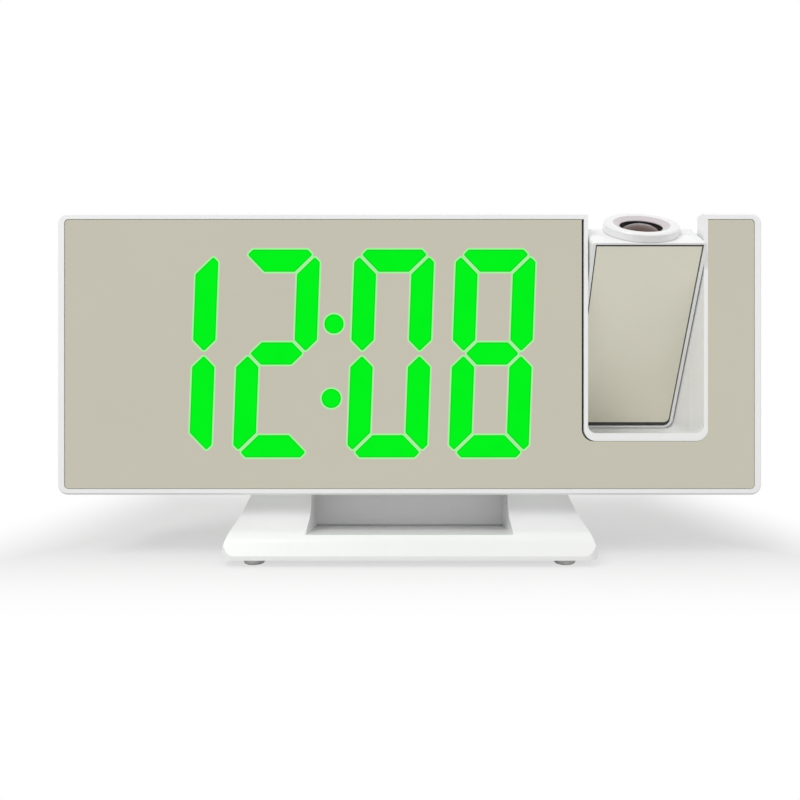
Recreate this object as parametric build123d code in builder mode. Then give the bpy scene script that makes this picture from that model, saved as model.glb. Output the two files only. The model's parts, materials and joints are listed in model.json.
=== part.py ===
"""A projection alarm clock: a mirror-fronted LED clock on a low stand, with a projector arm that tilts
in a slot at its right-hand end.

Millimetres, +X to the clock's right as seen from the front, +Z up, the front looking along -Y. The
origin is the centre of the stand's footprint, on the surface that the clock stands on. Depths are
measured backwards from the front of the frame. The arm is drawn leaning forward by its tilt.
"""

from build123d import *
import os
from math import asin, cos, radians, sin, sqrt, tan

os.makedirs("parts", exist_ok=True)

# ---------------------------------------------------------------- driving dimensions

# The clock's body
body_w = 188.0
body_h = 75.2
body_d = 26.0
body_z = 17.6  # height of the body's underside
frame_d = 4.6
frame_corner_r = 2.7
frame_chamfer = 0.5
parting_d = 10.6  # depth where the front housing meets the rear cover
seam_gap = 0.1
case_inset_side = 3.0
case_inset_top = 4.5
case_corner_r = 4.0
rear_edge_r = 2.5
wall = 1.8
fit_gap = 0.1  # round pieces that seat in one another
run_gap = 0.05  # radial clearance of what turns or slides

# The mirror and its tape
frame_band_side = 1.95  # frame seen beside the mirror
frame_band_top = 1.7  # frame seen above and below the mirror
mirror_t = 2.0
mirror_sink = 0.3
mirror_corner_r = 1.0
tape_t = 0.3
bead_sink = 0.5  # mirror's face to the foam bead in the gap beside the slot
ledge_w = 3.2

# The slot for the projector arm
bay_from_end = 30.93  # the slot's middle to the body's right end
bay_w = 30.9
bay_floor_up = 16.5  # the body's underside to the slot's floor at the front
bay_corner_r = 2.1
rim_side = 1.07  # frame seen beside the slot
rim_bottom = 2.1
mirror_gap_left = 0.55  # dark gap between the mirror and the slot's rim
mirror_gap_right = 0.1

# The arm and its pivot
pivot_d = 12.0
pivot_drop = 12.33  # the body's top to the pivot
tilt = 29.0
arm_gap_side = 0.4
arm_gap_floor = 0.35
arm_front = 12.0  # pivot to the arm's face
arm_top = 10.78  # pivot to the arm's top end
arm_shoulder_v = 4.0  # pivot to where the rear face starts to lean in
arm_rear = 4.5
arm_rear_top = 0.3
arm_taper_v = -30.0
arm_rear_low = -3.0
arm_wall = 1.4
arm_split = 5.0  # pivot to the joint between the arm's two shells
arm_low_corner_r = 2.6
arm_top_corner_r = 0.8
arm_bezel = 0.85
arm_mirror_t = 1.2
arm_mirror_sink = 0.2
arm_tape_t = 0.2
arm_rim_sink = 0.1  # arm mirror's face to the tape's rim round it
arm_border_side = 0.35
arm_border_top = 0.5
arm_border_low = 1.25
arm_bezel_top = 0.5
arm_face_wall = 1.2
pin_r = 2.4
pin_bore_r = 1.15
pin_reach = 4.4  # pin past the slot's wall
pin_head = 1.2
pin_head_size = 7.6
bush_wall = 1.0
bush_flange_r = 4.6
bush_flange_t = 1.2
washer_t = 0.3
washer_r = 5.2

# The projector's optics, on an axis ahead of the pivot
lens_ahead = 2.0
lens_r = 5.3
lens_wall = 0.75
barrel_wall = 1.0
barrel_low = 3.0
barrel_proud = 1.1
barrel_plate_w = 17.2
barrel_plate_t = 1.2
ring_r = 10.05
ring_mouth_r = 7.6
ring_proud = 2.24
ring_lift = 0.1
ring_lip = 0.45
ring_lip_t = 0.2
ring_chamfer = 0.3
hump_wall = 1.4
hump_gap = 0.3
hump_low = -4.0
hump_high = 4.0  # the hump's top above the arm's shoulder
holder_gap_low = 2.0
holder_proud = 0.42
lens_edge_t = 3.2
lens_rise = 1.5
lens_stop = 0.7
tube_w = 11.8
tube_d = 9.8
tube_wall = 1.2
tube_ledge = 0.6
tube_low = -24.0
rib_t = 1.2
rib_places = (-6.0, -20.0)
tube_gap = 0.2
ledge_up = 12.0  # the tube's low end to the condenser's ledge
plate_pocket = 2.3
image_plate_t = 1.1
condenser_edge = 1.0
condenser_rise = 2.0
led_board_w = 14.0
led_size = 3.5
led_body_t = 1.2
led_dome_t = 0.6
led_rim = 0.3

# The display
digits_left = 15.85  # the room's left side to the digits
digits_right = 12.97  # the digits to the slot's wall
digits_top = 9.6  # the digits to the body's top
digits_low = 9.9  # the body's underside to the digits
digit_gap = 5.6
colon_room = 9.0
segment_t = 6.15
segment_gap = 0.7
corner_cut = 3.4
segment_round = 0.6
slant = 2.1
colon_shift = -0.2
colon_r = 2.67
colon_up = 7.9
colon_down = 12.0
reflector_side = 3.9  # reflector beside the digits
reflector_edge = 2.15  # reflector above and below the digits
reflector_t = 6.0
diffuser_t = 2.0
led_w = 3.2
led_t = 0.7
board_t = 1.2
display_board_side = 4.0  # board beside the reflector
display_board_edge = 0.1  # board above and below the reflector
display_screw_in = 2.0
display_screw_up = 16.0  # the display's middle to its screws
lug_h = 6.0
connector_in = 32.0
connector_up = 5.0
connector_w = 20.0
connector_h = 4.0

# The main board and what it carries
main_board_d = 12.2
main_board_t = 1.6
main_board_w = 98.0
main_board_gap = 13.82  # the main board to the slot's wall
main_board_up = 9.4  # the body's underside to the main board
main_board_down = 11.8  # the main board to the body's top
board_post_in = 4.0
board_screw_bite = 6.0
board_head_t = 0.7
# Places on the main board are measured in from its right end and up from its low edge.
chip_t = 1.6
chips = ((39.0, 27.0, 12.0, 9.0), (20.0, 27.0, 10.0, 6.0))  # each chip's place, width and height
capacitor_r = 2.5
capacitor_t = 7.0
capacitor_round = 0.4
capacitor_marks = ((37.0, 7.5), (59.5, 7.5), (12.0, 23.5))
sound_in = 50.0
sound_up = 18.0
sound_ring_r = 3.0
sound_hole_r = 0.7
buzzer_r = 6.0
buzzer_t = 6.5
buzzer_round = 0.5
buzzer_hole_r = 1.0
buzzer_hole_depth = 1.5

# Keys on the back, and the snooze bar on top
key_w = 10.0
key_h = 5.0
key_r = 1.2
key_proud = 0.8
key_travel = 0.5
key_gap = 0.15
key_flange = 1.0
key_flange_t = 0.8
key_stem_r = 1.6
key_round = 0.4
key_down = 11.0  # the main board's top to the keys
key_last_in = 22.0  # the main board's right end to the last key
key_pitch = 15.0
dome_r = 3.0
dome_t = 0.6
dome_crown = 0.3
dome_slope = 1.2
mark_t = 0.2
mark_size = 2.6
mark_line = 0.6
mark_pitch = 1.04
snooze_in = 46.0
snooze_w = 52.0
snooze_d = 7.0
snooze_depth = 18.0
snooze_proud = 1.2
snooze_travel = 0.6
switch_w = 6.0
switch_h = 5.5
switch_t = 3.5
plunger_w = 2.6
plunger_h = 0.8
snooze_stem_l = 2.6
snooze_round = 0.6

# The coin cell and its twist door
cell_in = 77.0
cell_up = 16.0
cell_round = 0.5
cell_r = 10.0
cell_t = 3.2
cell_gap = 0.3
door_r = 12.2
door_t = 1.5
door_gap = 0.2
door_chamfer = 0.3
coin_slot_w = 13.0
coin_slot_h = 1.8
coin_slot_depth = 0.8
cup_wall = 1.6
cup_floor_gap = 0.4
contact_w = 4.0
contact_t = 0.25
contact_l = 12.0
contact_pocket = 1.0
lug_reach = 1.0
lug_w = 4.0
lug_t = 0.7
groove_gap = 0.2
notch_turn = 45.0

# Sockets
usb_in = 24.0
usb_up = 15.0
usb_w = 13.2
usb_h = 5.8
usb_wall = 0.35
usb_gap = 0.25
usb_sink = 0.4
usb_corner_r = 0.6
usb_floor_t = 1.0
tongue_w = 11.0
tongue_h = 1.9
tongue_sink = 1.0
tongue_gap = 0.2
jack_in = 7.0
jack_up = 15.0
jack_size = 9.0
jack_bore_r = 3.1
jack_pin_r = 0.65
jack_bore_depth = 9.0
jack_pin_sink = 0.5
jack_pin_round = 0.4

# Screws and posts
post_r = 2.8
post_root = 0.84  # how far a corner post is sunk in the case's walls
bay_post_up = 7.0  # the case's floor to the post beside the slot
pilot_r = 0.85
screw_r = 0.8
screw_head_r = 2.0
screw_head_t = 1.1
cross_l = 2.3
cross_w = 0.5
cross_depth = 0.45
board_post_r = 2.4
head_gap = 0.3
screw_end_gap = 1.0
arm_screw_side = 3.55  # the arm's side to its screws
arm_screw_down = 3.98  # the arm's top to its upper screws
arm_screw_up = 7.55  # the arm's low end to its lower screws
arm_screw_seat = 1.2  # head of a shell screw below the rear face
arm_screw_bite = 3.5
arm_pilot_depth = 4.0
arm_head_r = 1.8
arm_head_t = 1.0
arm_post_r = 1.9
arm_boss_wall = 0.6
sink_d = 2.2

# The stand
toe_out = 8.0  # front of the stand ahead of the frame
heel_back = 35.0  # back of the stand behind the frame
base_half_w = 49.1
base_mid_half_w = 47.0
base_top_half_w = 43.2
base_mid_z = 8.9
base_z = 1.9  # height of the feet
base_corner_r = 4.0
ankle_d = 6.8
ankle_z = 12.0
instep_d = -5.4
instep_z = 8.0
instep_r = 5.0
ankle_r = 6.0
toe_z = 3.0
heel_top_d = 24.0
heel_z = 4.4
heel_r = 3.0
well_half_w = 27.07
well_back_d = 19.2
well_floor_z = 5.97
well_lip_z = 7.9
well_lip_d = -5.0
well_seam_w = 0.4  # groove at the foot of the well's back wall
well_seam_depth = 0.8
stand_wall = 2.0
plate_t = 1.8
plate_gap = 0.15
plate_side = 0.25  # from the stand's inner side to the plate's gap
plate_end = 1.0
plate_corner_r = 1.5
foot_r = 2.8
foot_flat_r = 1.9
foot_peg_r = 1.2
foot_in = 8.3  # the stand's side to the middle of a foot
foot_front_d = -2.6
foot_back_d = 29.5
stand_screw_d = 18.0
stand_screw_r = 1.2
stand_head_r = 2.6
stand_head_t = 1.5
stand_boss_r = 3.2
stand_boss_h = 8.0
base_post_r = 2.4
base_post_side = 13.1  # the stand's side to its outer posts
base_post_mid = 15.0
base_post_front_d = 10.0
base_post_back_d = 27.0
base_pilot_depth = 5.0
base_screw_bite = 3.0
base_head_t = 1.0

# The projector's lead
lead_r = 0.6
lead_meet = 0.6  # the slot's wall to where the two halves of the lead meet
lead_rise = 5.0
lead_side = 1.5  # the main board's end to where the lead passes it
lead_back = 2.6
lead_drop = 5.0
lead_reach = 5.5
lead_inner_x = 9.8
lead_low_x = 10.3
lead_low_back = -1.5
lead_low_up = -13.0
lead_end_x = 11.5
socket_in = 4.5
socket_drop = 19.97  # the pivot to the middle of the lead's socket
socket_w = 7.0
socket_h = 5.0
socket_t = 4.2

# ---------------------------------------------------------------- derived places

front_y = toe_out - (toe_out + heel_back) / 2
body_top_z = body_z + body_h
body_mid_z = body_z + body_h / 2
case_w = body_w - 2 * case_inset_side
case_top_z = body_top_z - case_inset_top
case_h = case_top_z - body_z
case_mid_z = body_z + case_h / 2
room_half_w = case_w / 2 - wall
room_top_z = case_top_z - wall
room_low_z = body_z + wall
room_back_d = body_d - wall
mirror_back_d = mirror_sink + mirror_t + tape_t
pivot_y = front_y + pivot_d
pivot_z = body_top_z - pivot_drop
bay_x = body_w / 2 - bay_from_end
bay_floor_z = body_z + bay_floor_up
bay_left = bay_x - bay_w / 2
bay_right = bay_x + bay_w / 2
floor_r = sqrt((pivot_z - bay_floor_z) ** 2 + pivot_d**2)
arm_r = floor_r - arm_gap_floor
arm_w = bay_w - 2 * arm_gap_side
main_back_d = main_board_d + main_board_t
main_board_right = bay_left - wall - main_board_gap
main_board_left = main_board_right - main_board_w
main_board_low = body_z + main_board_up
main_board_top = body_top_z - main_board_down
key_xs = [main_board_right - key_last_in - key_pitch * i for i in (4, 3, 2, 1, 0)]
key_z = main_board_top - key_down
snooze_x = main_board_right - snooze_in
cell_x = main_board_right - cell_in
cell_z = main_board_low + cell_up
usb_x = main_board_right - usb_in
usb_z = main_board_low + usb_up
jack_x = main_board_right - jack_in
jack_z = main_board_low + jack_up
sound_x = main_board_right - sound_in
sound_z = main_board_low + sound_up
stand_screw_x = (well_half_w + base_top_half_w) / 2
foot_x = base_half_w - foot_in
half_gap = segment_gap / sqrt(2)
over = 2.0  # how far a cut runs past what it cuts
overlap = 0.2  # how far a post or rib reaches into the wall that it stands on


def back_plane(depth):
    """The upright plane at this depth behind the front, looking out of the front: x is X and y is Z."""
    return Plane(origin=(0, front_y + depth, 0), x_dir=(1, 0, 0), z_dir=(0, -1, 0))


def side_plane(x):
    """The plane across the clock at this X, looking right: its x is Y and its y is Z."""
    return Plane.YZ.offset(x)


def cut_slab(near_depth, far_depth):
    """Cuts the open sketch's shape out of the open part between two depths."""
    extrude(amount=far_depth - near_depth, mode=Mode.SUBTRACT)


def screw_solid(seat, length, head_r=screw_head_r, head_t=screw_head_t, shank_r=screw_r):
    """A cross-headed screw: its head stands on the seat and its shank runs below it."""
    with BuildPart() as screw:
        with BuildSketch(seat):
            Circle(head_r)
        extrude(amount=head_t)
        with BuildSketch(seat):
            Circle(shank_r)
        extrude(amount=-length)
        with BuildSketch(seat.offset(head_t)):
            Rectangle(cross_l, cross_w)
            Rectangle(cross_w, cross_l)
        extrude(amount=-cross_depth, mode=Mode.SUBTRACT)
    return screw.part


def bay_solid(grow):
    """The projector slot as a solid, grown all round: its floor is an arc about the arm's pivot."""
    radius = floor_r + grow
    front = -over
    back = body_d + over
    top = body_top_z + over
    with BuildPart() as bay:
        with BuildSketch(side_plane(bay_left - grow)):
            with BuildLine():
                low = [
                    (front_y + depth, pivot_z - sqrt(radius**2 - (depth - pivot_d) ** 2))
                    for depth in (front, pivot_d, back)
                ]
                ThreePointArc(*low)
                Polyline(low[2], (front_y + back, top), (front_y + front, top), low[0])
            make_face()
        extrude(amount=bay_w + 2 * grow)
        fillet(bay.edges().filter_by(GeomType.CIRCLE), radius=bay_corner_r + grow)
    return bay.part


def case_outline(inset):
    """Adds the case's outline behind the frame, drawn in all round, to the open sketch."""
    with Locations((0, case_mid_z)):
        RectangleRounded(case_w - 2 * inset, case_h - 2 * inset, case_corner_r - inset)


def mirror_outline(gap, left_gap, right_gap, low_gap):
    """Adds the mirror's outline, grown by gap and notched round the slot's rim, to the open sketch."""
    with Locations((0, body_mid_z)):
        RectangleRounded(
            body_w - 2 * frame_band_side + 2 * gap,
            body_h - 2 * frame_band_top + 2 * gap,
            mirror_corner_r + gap,
        )
    notch_left = bay_left - rim_side - left_gap
    notch_right = bay_right + rim_side + right_gap
    notch_low = bay_floor_z - rim_bottom - low_gap
    notch_h = 2 * (body_top_z - notch_low)
    with Locations(((notch_left + notch_right) / 2, notch_low + notch_h / 2)):
        RectangleRounded(
            notch_right - notch_left, notch_h, bay_corner_r + rim_side, mode=Mode.SUBTRACT
        )


bay_space = bay_solid(0)
bay_block = bay_solid(wall)

# ---------------------------------------------------------------- front housing

left_edge = -room_half_w
window_right = bay_left - wall - ledge_w
window_low = body_z + frame_band_top + ledge_w
post_in = post_r - post_root
case_screw_places = [
    (-room_half_w + post_in, room_top_z - post_in),
    (-room_half_w + post_in, room_low_z + post_in),
    (bay_left - wall - post_in, room_low_z + bay_post_up),
    (room_half_w - post_in, room_top_z - post_in),
    (room_half_w - post_in, room_low_z + post_in),
]
# The digits fill the room beside the slot, and lugs beside the window carry the display board.
digits_w = bay_left - wall - left_edge - digits_left - digits_right
digit_w = (digits_w - 2 * digit_gap - colon_room) / 4
digit_h = body_h - digits_top - digits_low
digit_z = body_z + digits_low + digit_h / 2
display_x = left_edge + digits_left + digits_w / 2
digit_far = (3 * digit_w + colon_room) / 2 + digit_gap
digit_near = (digit_w + colon_room) / 2
digit_xs = [display_x + x for x in (-digit_far, -digit_near, digit_near, digit_far)]
colon_x = display_x + colon_shift
reflector_w = digits_w + 2 * reflector_side
reflector_h = digit_h + 2 * reflector_edge
display_board_w = reflector_w + 2 * display_board_side
display_board_h = reflector_h + 2 * display_board_edge
board_front_d = mirror_back_d + fit_gap + reflector_t + fit_gap
board_left = display_x - display_board_w / 2
board_right = display_x + display_board_w / 2
lug_zs = (digit_z - display_screw_up, digit_z + display_screw_up)
display_screw_places = [
    (x, z) for x in (board_left + display_screw_in, board_right - display_screw_in) for z in lug_zs
]
lug_left = board_left + 2 * display_screw_in
lug_right = board_right - 2 * display_screw_in

with BuildPart() as front_room:
    with BuildSketch(back_plane(parting_d + over)):
        case_outline(wall)
    extrude(amount=parting_d + over - frame_d)
    add(bay_block, mode=Mode.SUBTRACT)

with BuildPart() as front_housing:
    with BuildSketch(back_plane(frame_d)):
        with Locations((0, body_mid_z)):
            RectangleRounded(body_w, body_h, frame_corner_r)
    extrude(amount=frame_d)
    chamfer(front_housing.faces().sort_by(Axis.Y)[0].edges(), length=frame_chamfer)
    with BuildSketch(back_plane(parting_d)):
        case_outline(0)
    extrude(amount=parting_d - frame_d)
    # The mirror's seat
    with BuildSketch(back_plane(mirror_back_d)):
        mirror_outline(fit_gap, 0, 0, 0)
    cut_slab(-over, mirror_back_d)
    # The window behind the mirror
    with BuildSketch(back_plane(frame_d + over)):
        with Locations(((left_edge + window_right) / 2, (window_low + room_top_z) / 2)):
            Rectangle(window_right - left_edge, room_top_z - window_low)
    cut_slab(mirror_back_d - over, frame_d + over)
    add(front_room.part, mode=Mode.SUBTRACT)
    # Screw posts, and lugs for the display board
    with BuildSketch(back_plane(parting_d)):
        with Locations(*case_screw_places):
            Circle(post_r)
    extrude(amount=parting_d - mirror_back_d)
    with BuildSketch(back_plane(board_front_d - fit_gap)):
        for z in lug_zs:
            with Locations(((left_edge - overlap + lug_left) / 2, z)):
                Rectangle(lug_left - left_edge + overlap, lug_h)
            with Locations(((lug_right + bay_left - wall + overlap) / 2, z)):
                Rectangle(bay_left - wall + overlap - lug_right, lug_h)
    extrude(amount=board_front_d - fit_gap - mirror_back_d)
    with BuildSketch(back_plane(parting_d)):
        with Locations(*case_screw_places):
            Circle(pilot_r)
    cut_slab(frame_d, parting_d)
    with BuildSketch(back_plane(board_front_d)):
        with Locations(*display_screw_places):
            Circle(pilot_r)
    cut_slab(frame_d, board_front_d)
    # The slot, and the seats of the pivot's bushes in its walls
    add(bay_space, mode=Mode.SUBTRACT)
    with BuildSketch(side_plane(bay_left - wall - over)):
        with Locations((pivot_y, pivot_z)):
            Circle(pin_r + run_gap + bush_wall + run_gap)
    extrude(amount=bay_w + 2 * wall + 2 * over, mode=Mode.SUBTRACT)
front_housing.part.label = "front_housing"
export_step(front_housing.part, "parts/front_housing.step")

# ---------------------------------------------------------------- rear cover

cell_front_d = body_d - door_t - door_gap - cell_t - cell_gap
cup_floor_d = cell_front_d - cup_floor_gap
cup_r = door_r + door_gap + lug_reach + groove_gap + cup_wall
groove_r = door_r + lug_reach + groove_gap
groove_front_d = body_d - door_t - door_gap
groove_back_d = groove_front_d + door_gap + lug_t + groove_gap
board_post_places = [
    (x, z)
    for x in (main_board_left + board_post_in, main_board_right - board_post_in)
    for z in (main_board_low + board_post_in, main_board_top - board_post_in)
]

with BuildPart() as rear_room:
    with BuildSketch(back_plane(room_back_d)):
        case_outline(wall)
    extrude(amount=room_back_d - parting_d + over)
    add(bay_block, mode=Mode.SUBTRACT)

with BuildPart() as rear_cover:
    with BuildSketch(back_plane(body_d)):
        case_outline(0)
    extrude(amount=body_d - parting_d - seam_gap)
    fillet(rear_cover.faces().sort_by(Axis.Y)[-1].edges(), radius=rear_edge_r)
    add(rear_room.part, mode=Mode.SUBTRACT)
    # Posts for the case screws, posts for the main board, bosses for the stand, and the cell's cup
    with BuildSketch(back_plane(room_back_d + overlap)):
        with Locations(*case_screw_places):
            Circle(post_r)
    extrude(amount=room_back_d + overlap - parting_d - seam_gap)
    with BuildSketch(back_plane(room_back_d + overlap)):
        with Locations(*board_post_places):
            Circle(board_post_r)
    extrude(amount=room_back_d + overlap - main_back_d - fit_gap)
    with BuildSketch(Plane.XY.offset(room_low_z - overlap)):
        with Locations(*[(x, front_y + stand_screw_d) for x in (-stand_screw_x, stand_screw_x)]):
            Circle(stand_boss_r)
    extrude(amount=stand_boss_h)
    with BuildSketch(back_plane(room_back_d + overlap)):
        with Locations((cell_x, cell_z)):
            Circle(cup_r)
    extrude(amount=room_back_d + overlap - cup_floor_d + wall)
    # Bores of the cup: the cell's, the door's lug groove, the door's rim and its two lug notches
    with BuildSketch(back_plane(body_d)):
        with Locations((cell_x, cell_z)):
            Circle(cell_r + cell_gap)
    cut_slab(cup_floor_d, body_d)
    with BuildSketch(back_plane(groove_back_d)):
        with Locations((cell_x, cell_z)):
            Circle(groove_r)
    cut_slab(groove_front_d, groove_back_d)
    with BuildSketch(back_plane(body_d + over)):
        with Locations((cell_x, cell_z)):
            Circle(door_r + door_gap)
            Rectangle(2 * groove_r, lug_w + 4 * door_gap, rotation=-notch_turn)
    cut_slab(groove_front_d, body_d + over)
    with BuildSketch(back_plane(groove_front_d)):
        with Locations((cell_x + cell_r + contact_pocket / 2, cell_z)):
            Rectangle(contact_pocket, contact_w + 2 * fit_gap)
    cut_slab(cell_front_d, groove_front_d)
    # Holes for the case screws, sunk for their heads
    with BuildSketch(back_plane(body_d + over)):
        with Locations(*case_screw_places):
            Circle(screw_head_r + head_gap)
    cut_slab(body_d - sink_d, body_d + over)
    with BuildSketch(back_plane(body_d)):
        with Locations(*case_screw_places):
            Circle(screw_r + head_gap)
    cut_slab(parting_d, body_d)
    with BuildSketch(back_plane(room_back_d - over)):
        with Locations(*board_post_places):
            Circle(pilot_r)
    cut_slab(main_back_d, room_back_d - over)
    with BuildSketch(Plane.XY.offset(body_z - over)):
        with Locations(*[(x, front_y + stand_screw_d) for x in (-stand_screw_x, stand_screw_x)]):
            Circle(stand_screw_r + run_gap)
    extrude(amount=over + stand_boss_h, mode=Mode.SUBTRACT)
    # Openings for the keys, the sockets and the buzzer's sound
    with BuildSketch(back_plane(body_d + over)):
        with Locations(*[(x, key_z) for x in key_xs]):
            RectangleRounded(key_w + 2 * key_gap, key_h + 2 * key_gap, key_r + key_gap)
        with Locations((usb_x, usb_z)):
            Rectangle(usb_w + 2 * usb_gap, usb_h + 2 * usb_gap)
        with Locations((jack_x, jack_z)):
            Circle(jack_bore_r + fit_gap)
        with Locations((sound_x, sound_z)):
            Circle(sound_hole_r)
            with PolarLocations(sound_ring_r, 6):
                Circle(sound_hole_r)
    cut_slab(room_back_d - over, body_d + over)
    with BuildSketch(Plane.XY.offset(case_top_z + over)):
        with Locations((snooze_x, front_y + snooze_depth)):
            RectangleRounded(snooze_w + 2 * key_gap, snooze_d + 2 * key_gap, key_r + key_gap)
    extrude(amount=-wall - 2 * over, mode=Mode.SUBTRACT)
    add(bay_space, mode=Mode.SUBTRACT)
    with BuildSketch(side_plane(bay_left - wall - over)):
        with Locations((pivot_y, pivot_z)):
            Circle(pin_r + run_gap + bush_wall + run_gap)
    extrude(amount=bay_w + 2 * wall + 2 * over, mode=Mode.SUBTRACT)
rear_cover.part.label = "rear_cover"
export_step(rear_cover.part, "parts/rear_cover.step")

# ---------------------------------------------------------------- mirror and tape

with BuildPart() as mirror_panel:
    with BuildSketch(back_plane(mirror_sink + mirror_t)):
        mirror_outline(0, mirror_gap_left, mirror_gap_right, mirror_gap_right)
    extrude(amount=mirror_t)
mirror_panel.part.label = "mirror_panel"
export_step(mirror_panel.part, "parts/mirror_panel.step")

with BuildPart() as mirror_tape:
    with BuildSketch(back_plane(mirror_back_d)):
        mirror_outline(0, fit_gap, mirror_gap_right, mirror_gap_right)
        with Locations(((left_edge + window_right) / 2, (window_low + room_top_z) / 2)):
            Rectangle(window_right - left_edge, room_top_z - window_low, mode=Mode.SUBTRACT)
    extrude(amount=tape_t)
    # A bead of the foam fills the gap on the slot's left.
    bead_low = bay_floor_z - rim_bottom + bay_corner_r + rim_side
    bead_top = body_top_z - frame_band_top
    with BuildSketch(back_plane(mirror_back_d)):
        with Locations((bay_left - rim_side - mirror_gap_left / 2, (bead_low + bead_top) / 2)):
            Rectangle(mirror_gap_left - 2 * run_gap, bead_top - bead_low)
    extrude(amount=mirror_back_d - mirror_sink - bead_sink)
mirror_tape.part.label = "mirror_tape"
export_step(mirror_tape.part, "parts/mirror_tape.step")

# ---------------------------------------------------------------- display

lit_codes = ("bc", "abged", "abcdef", "abcdefg")
half_w = digit_w / 2
half_h = digit_h / 2


def segment_points(code):
    """The corners of one segment of an upright digit, read from the digit's centre."""
    if code in "ad":
        side = 1 if code == "a" else -1
        half = [
            (half_w - corner_cut, half_h),
            (half_w - (corner_cut + half_gap) / 2, half_h - (corner_cut - half_gap) / 2),
            (half_w - segment_t - half_gap, half_h - segment_t),
        ]
        return [(x, side * z) for x, z in half] + [(-x, side * z) for x, z in reversed(half)]
    if code == "g":
        tip = half_w - segment_t / 2 - half_gap
        shoulder = tip - segment_t / 2
        half = [(shoulder, segment_t / 2), (tip, 0), (shoulder, -segment_t / 2)]
        return half + [(-x, -z) for x, z in half]
    side_x = 1 if code in "bc" else -1
    side_z = 1 if code in "bf" else -1
    upright = [
        (half_w, half_h - corner_cut),
        (half_w - (corner_cut - half_gap) / 2, half_h - (corner_cut + half_gap) / 2),
        (half_w - segment_t, half_h - segment_t - half_gap),
        (half_w - segment_t, segment_t / 2 + half_gap),
        (half_w - segment_t / 2, half_gap),
        (half_w, segment_t / 2 + half_gap),
    ]
    return [(side_x * x, side_z * z) for x, z in upright]


def draw_segments(lit, dark):
    """Adds the chosen segments of the four slanting digits to the open sketch."""
    for digit_x, codes in zip(digit_xs, lit_codes):
        for code in "abcdefg":
            if (code in codes and lit) or (code not in codes and dark):
                points = [
                    (digit_x + x + z * tan(radians(slant)), digit_z + z) for x, z in segment_points(code)
                ]
                Polygon(*points, align=None)


def draw_colon(radius):
    """Adds the colon's two dots to the open sketch."""
    for rise in (colon_up, -colon_down):
        with Locations((colon_x + rise * tan(radians(slant)), digit_z + rise)):
            Circle(radius)


reflector_front_d = mirror_back_d + fit_gap
reflector_back_d = reflector_front_d + reflector_t

with BuildPart() as display_reflector:
    with BuildSketch(back_plane(reflector_back_d)):
        with Locations((display_x, digit_z)):
            Rectangle(reflector_w, reflector_h)
    extrude(amount=reflector_t)
    with BuildSketch(back_plane(reflector_back_d)):
        draw_segments(lit=True, dark=True)
        offset(amount=fit_gap, kind=Kind.INTERSECTION)
        draw_colon(colon_r + fit_gap)
    extrude(amount=reflector_t, mode=Mode.SUBTRACT)
display_reflector.part.label = "display_reflector"
export_step(display_reflector.part, "parts/display_reflector.step")

with BuildPart() as lit_segments:
    with BuildSketch(back_plane(reflector_front_d + diffuser_t)) as lit_outlines:
        draw_segments(lit=True, dark=False)
        fillet(lit_outlines.vertices(), radius=segment_round)
        draw_colon(colon_r)
    extrude(amount=diffuser_t)
lit_segments.part.label = "lit_segments"
export_step(lit_segments.part, "parts/lit_segments.step")

with BuildPart() as unlit_segments:
    with BuildSketch(back_plane(reflector_front_d + diffuser_t)) as dark_outlines:
        draw_segments(lit=False, dark=True)
        fillet(dark_outlines.vertices(), radius=segment_round)
    extrude(amount=diffuser_t)
unlit_segments.part.label = "unlit_segments"
export_step(unlit_segments.part, "parts/unlit_segments.step")

led_places = []
for digit_x in digit_xs:
    for code in "abcdefg":
        corners = segment_points(code)
        mid_x = sum(x for x, z in corners) / len(corners)
        mid_z = sum(z for x, z in corners) / len(corners)
        led_places.append((digit_x + mid_x + mid_z * tan(radians(slant)), digit_z + mid_z))
for rise in (colon_up, -colon_down):
    led_places.append((colon_x + rise * tan(radians(slant)), digit_z + rise))

with BuildPart() as segment_leds:
    with BuildSketch(back_plane(board_front_d)):
        with Locations(*led_places):
            Rectangle(led_w, led_w)
    extrude(amount=led_t)
segment_leds.part.label = "segment_leds"
export_step(segment_leds.part, "parts/segment_leds.step")

with BuildPart() as display_board:
    with BuildSketch(back_plane(board_front_d + board_t)):
        with Locations((display_x, digit_z)):
            Rectangle(display_board_w, display_board_h)
        with Locations(*display_screw_places):
            Circle(screw_r + head_gap, mode=Mode.SUBTRACT)
    extrude(amount=board_t)
display_board.part.label = "display_board"
export_step(display_board.part, "parts/display_board.step")

with BuildPart() as display_screws:
    for x, z in display_screw_places:
        seat = Plane(origin=(x, front_y + board_front_d + board_t, z), x_dir=(1, 0, 0), z_dir=(0, 1, 0))
        add(screw_solid(seat, board_front_d + board_t - frame_d - fit_gap))
display_screws.part.label = "display_screws"
export_step(display_screws.part, "parts/display_screws.step")

with BuildPart() as display_connector:
    with BuildSketch(back_plane(main_board_d)):
        with Locations((main_board_right - connector_in, main_board_low + connector_up)):
            Rectangle(connector_w, connector_h)
    extrude(amount=main_board_d - board_front_d - board_t)
display_connector.part.label = "display_connector"
export_step(display_connector.part, "parts/display_connector.step")

# ---------------------------------------------------------------- main board

with BuildPart() as main_board:
    with BuildSketch(back_plane(main_back_d)):
        with Locations(
            ((main_board_left + main_board_right) / 2, (main_board_low + main_board_top) / 2)
        ):
            Rectangle(main_board_right - main_board_left, main_board_top - main_board_low)
        with Locations(*board_post_places):
            Circle(screw_r + head_gap, mode=Mode.SUBTRACT)
    extrude(amount=main_board_t)
main_board.part.label = "main_board"
export_step(main_board.part, "parts/main_board.step")

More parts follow.
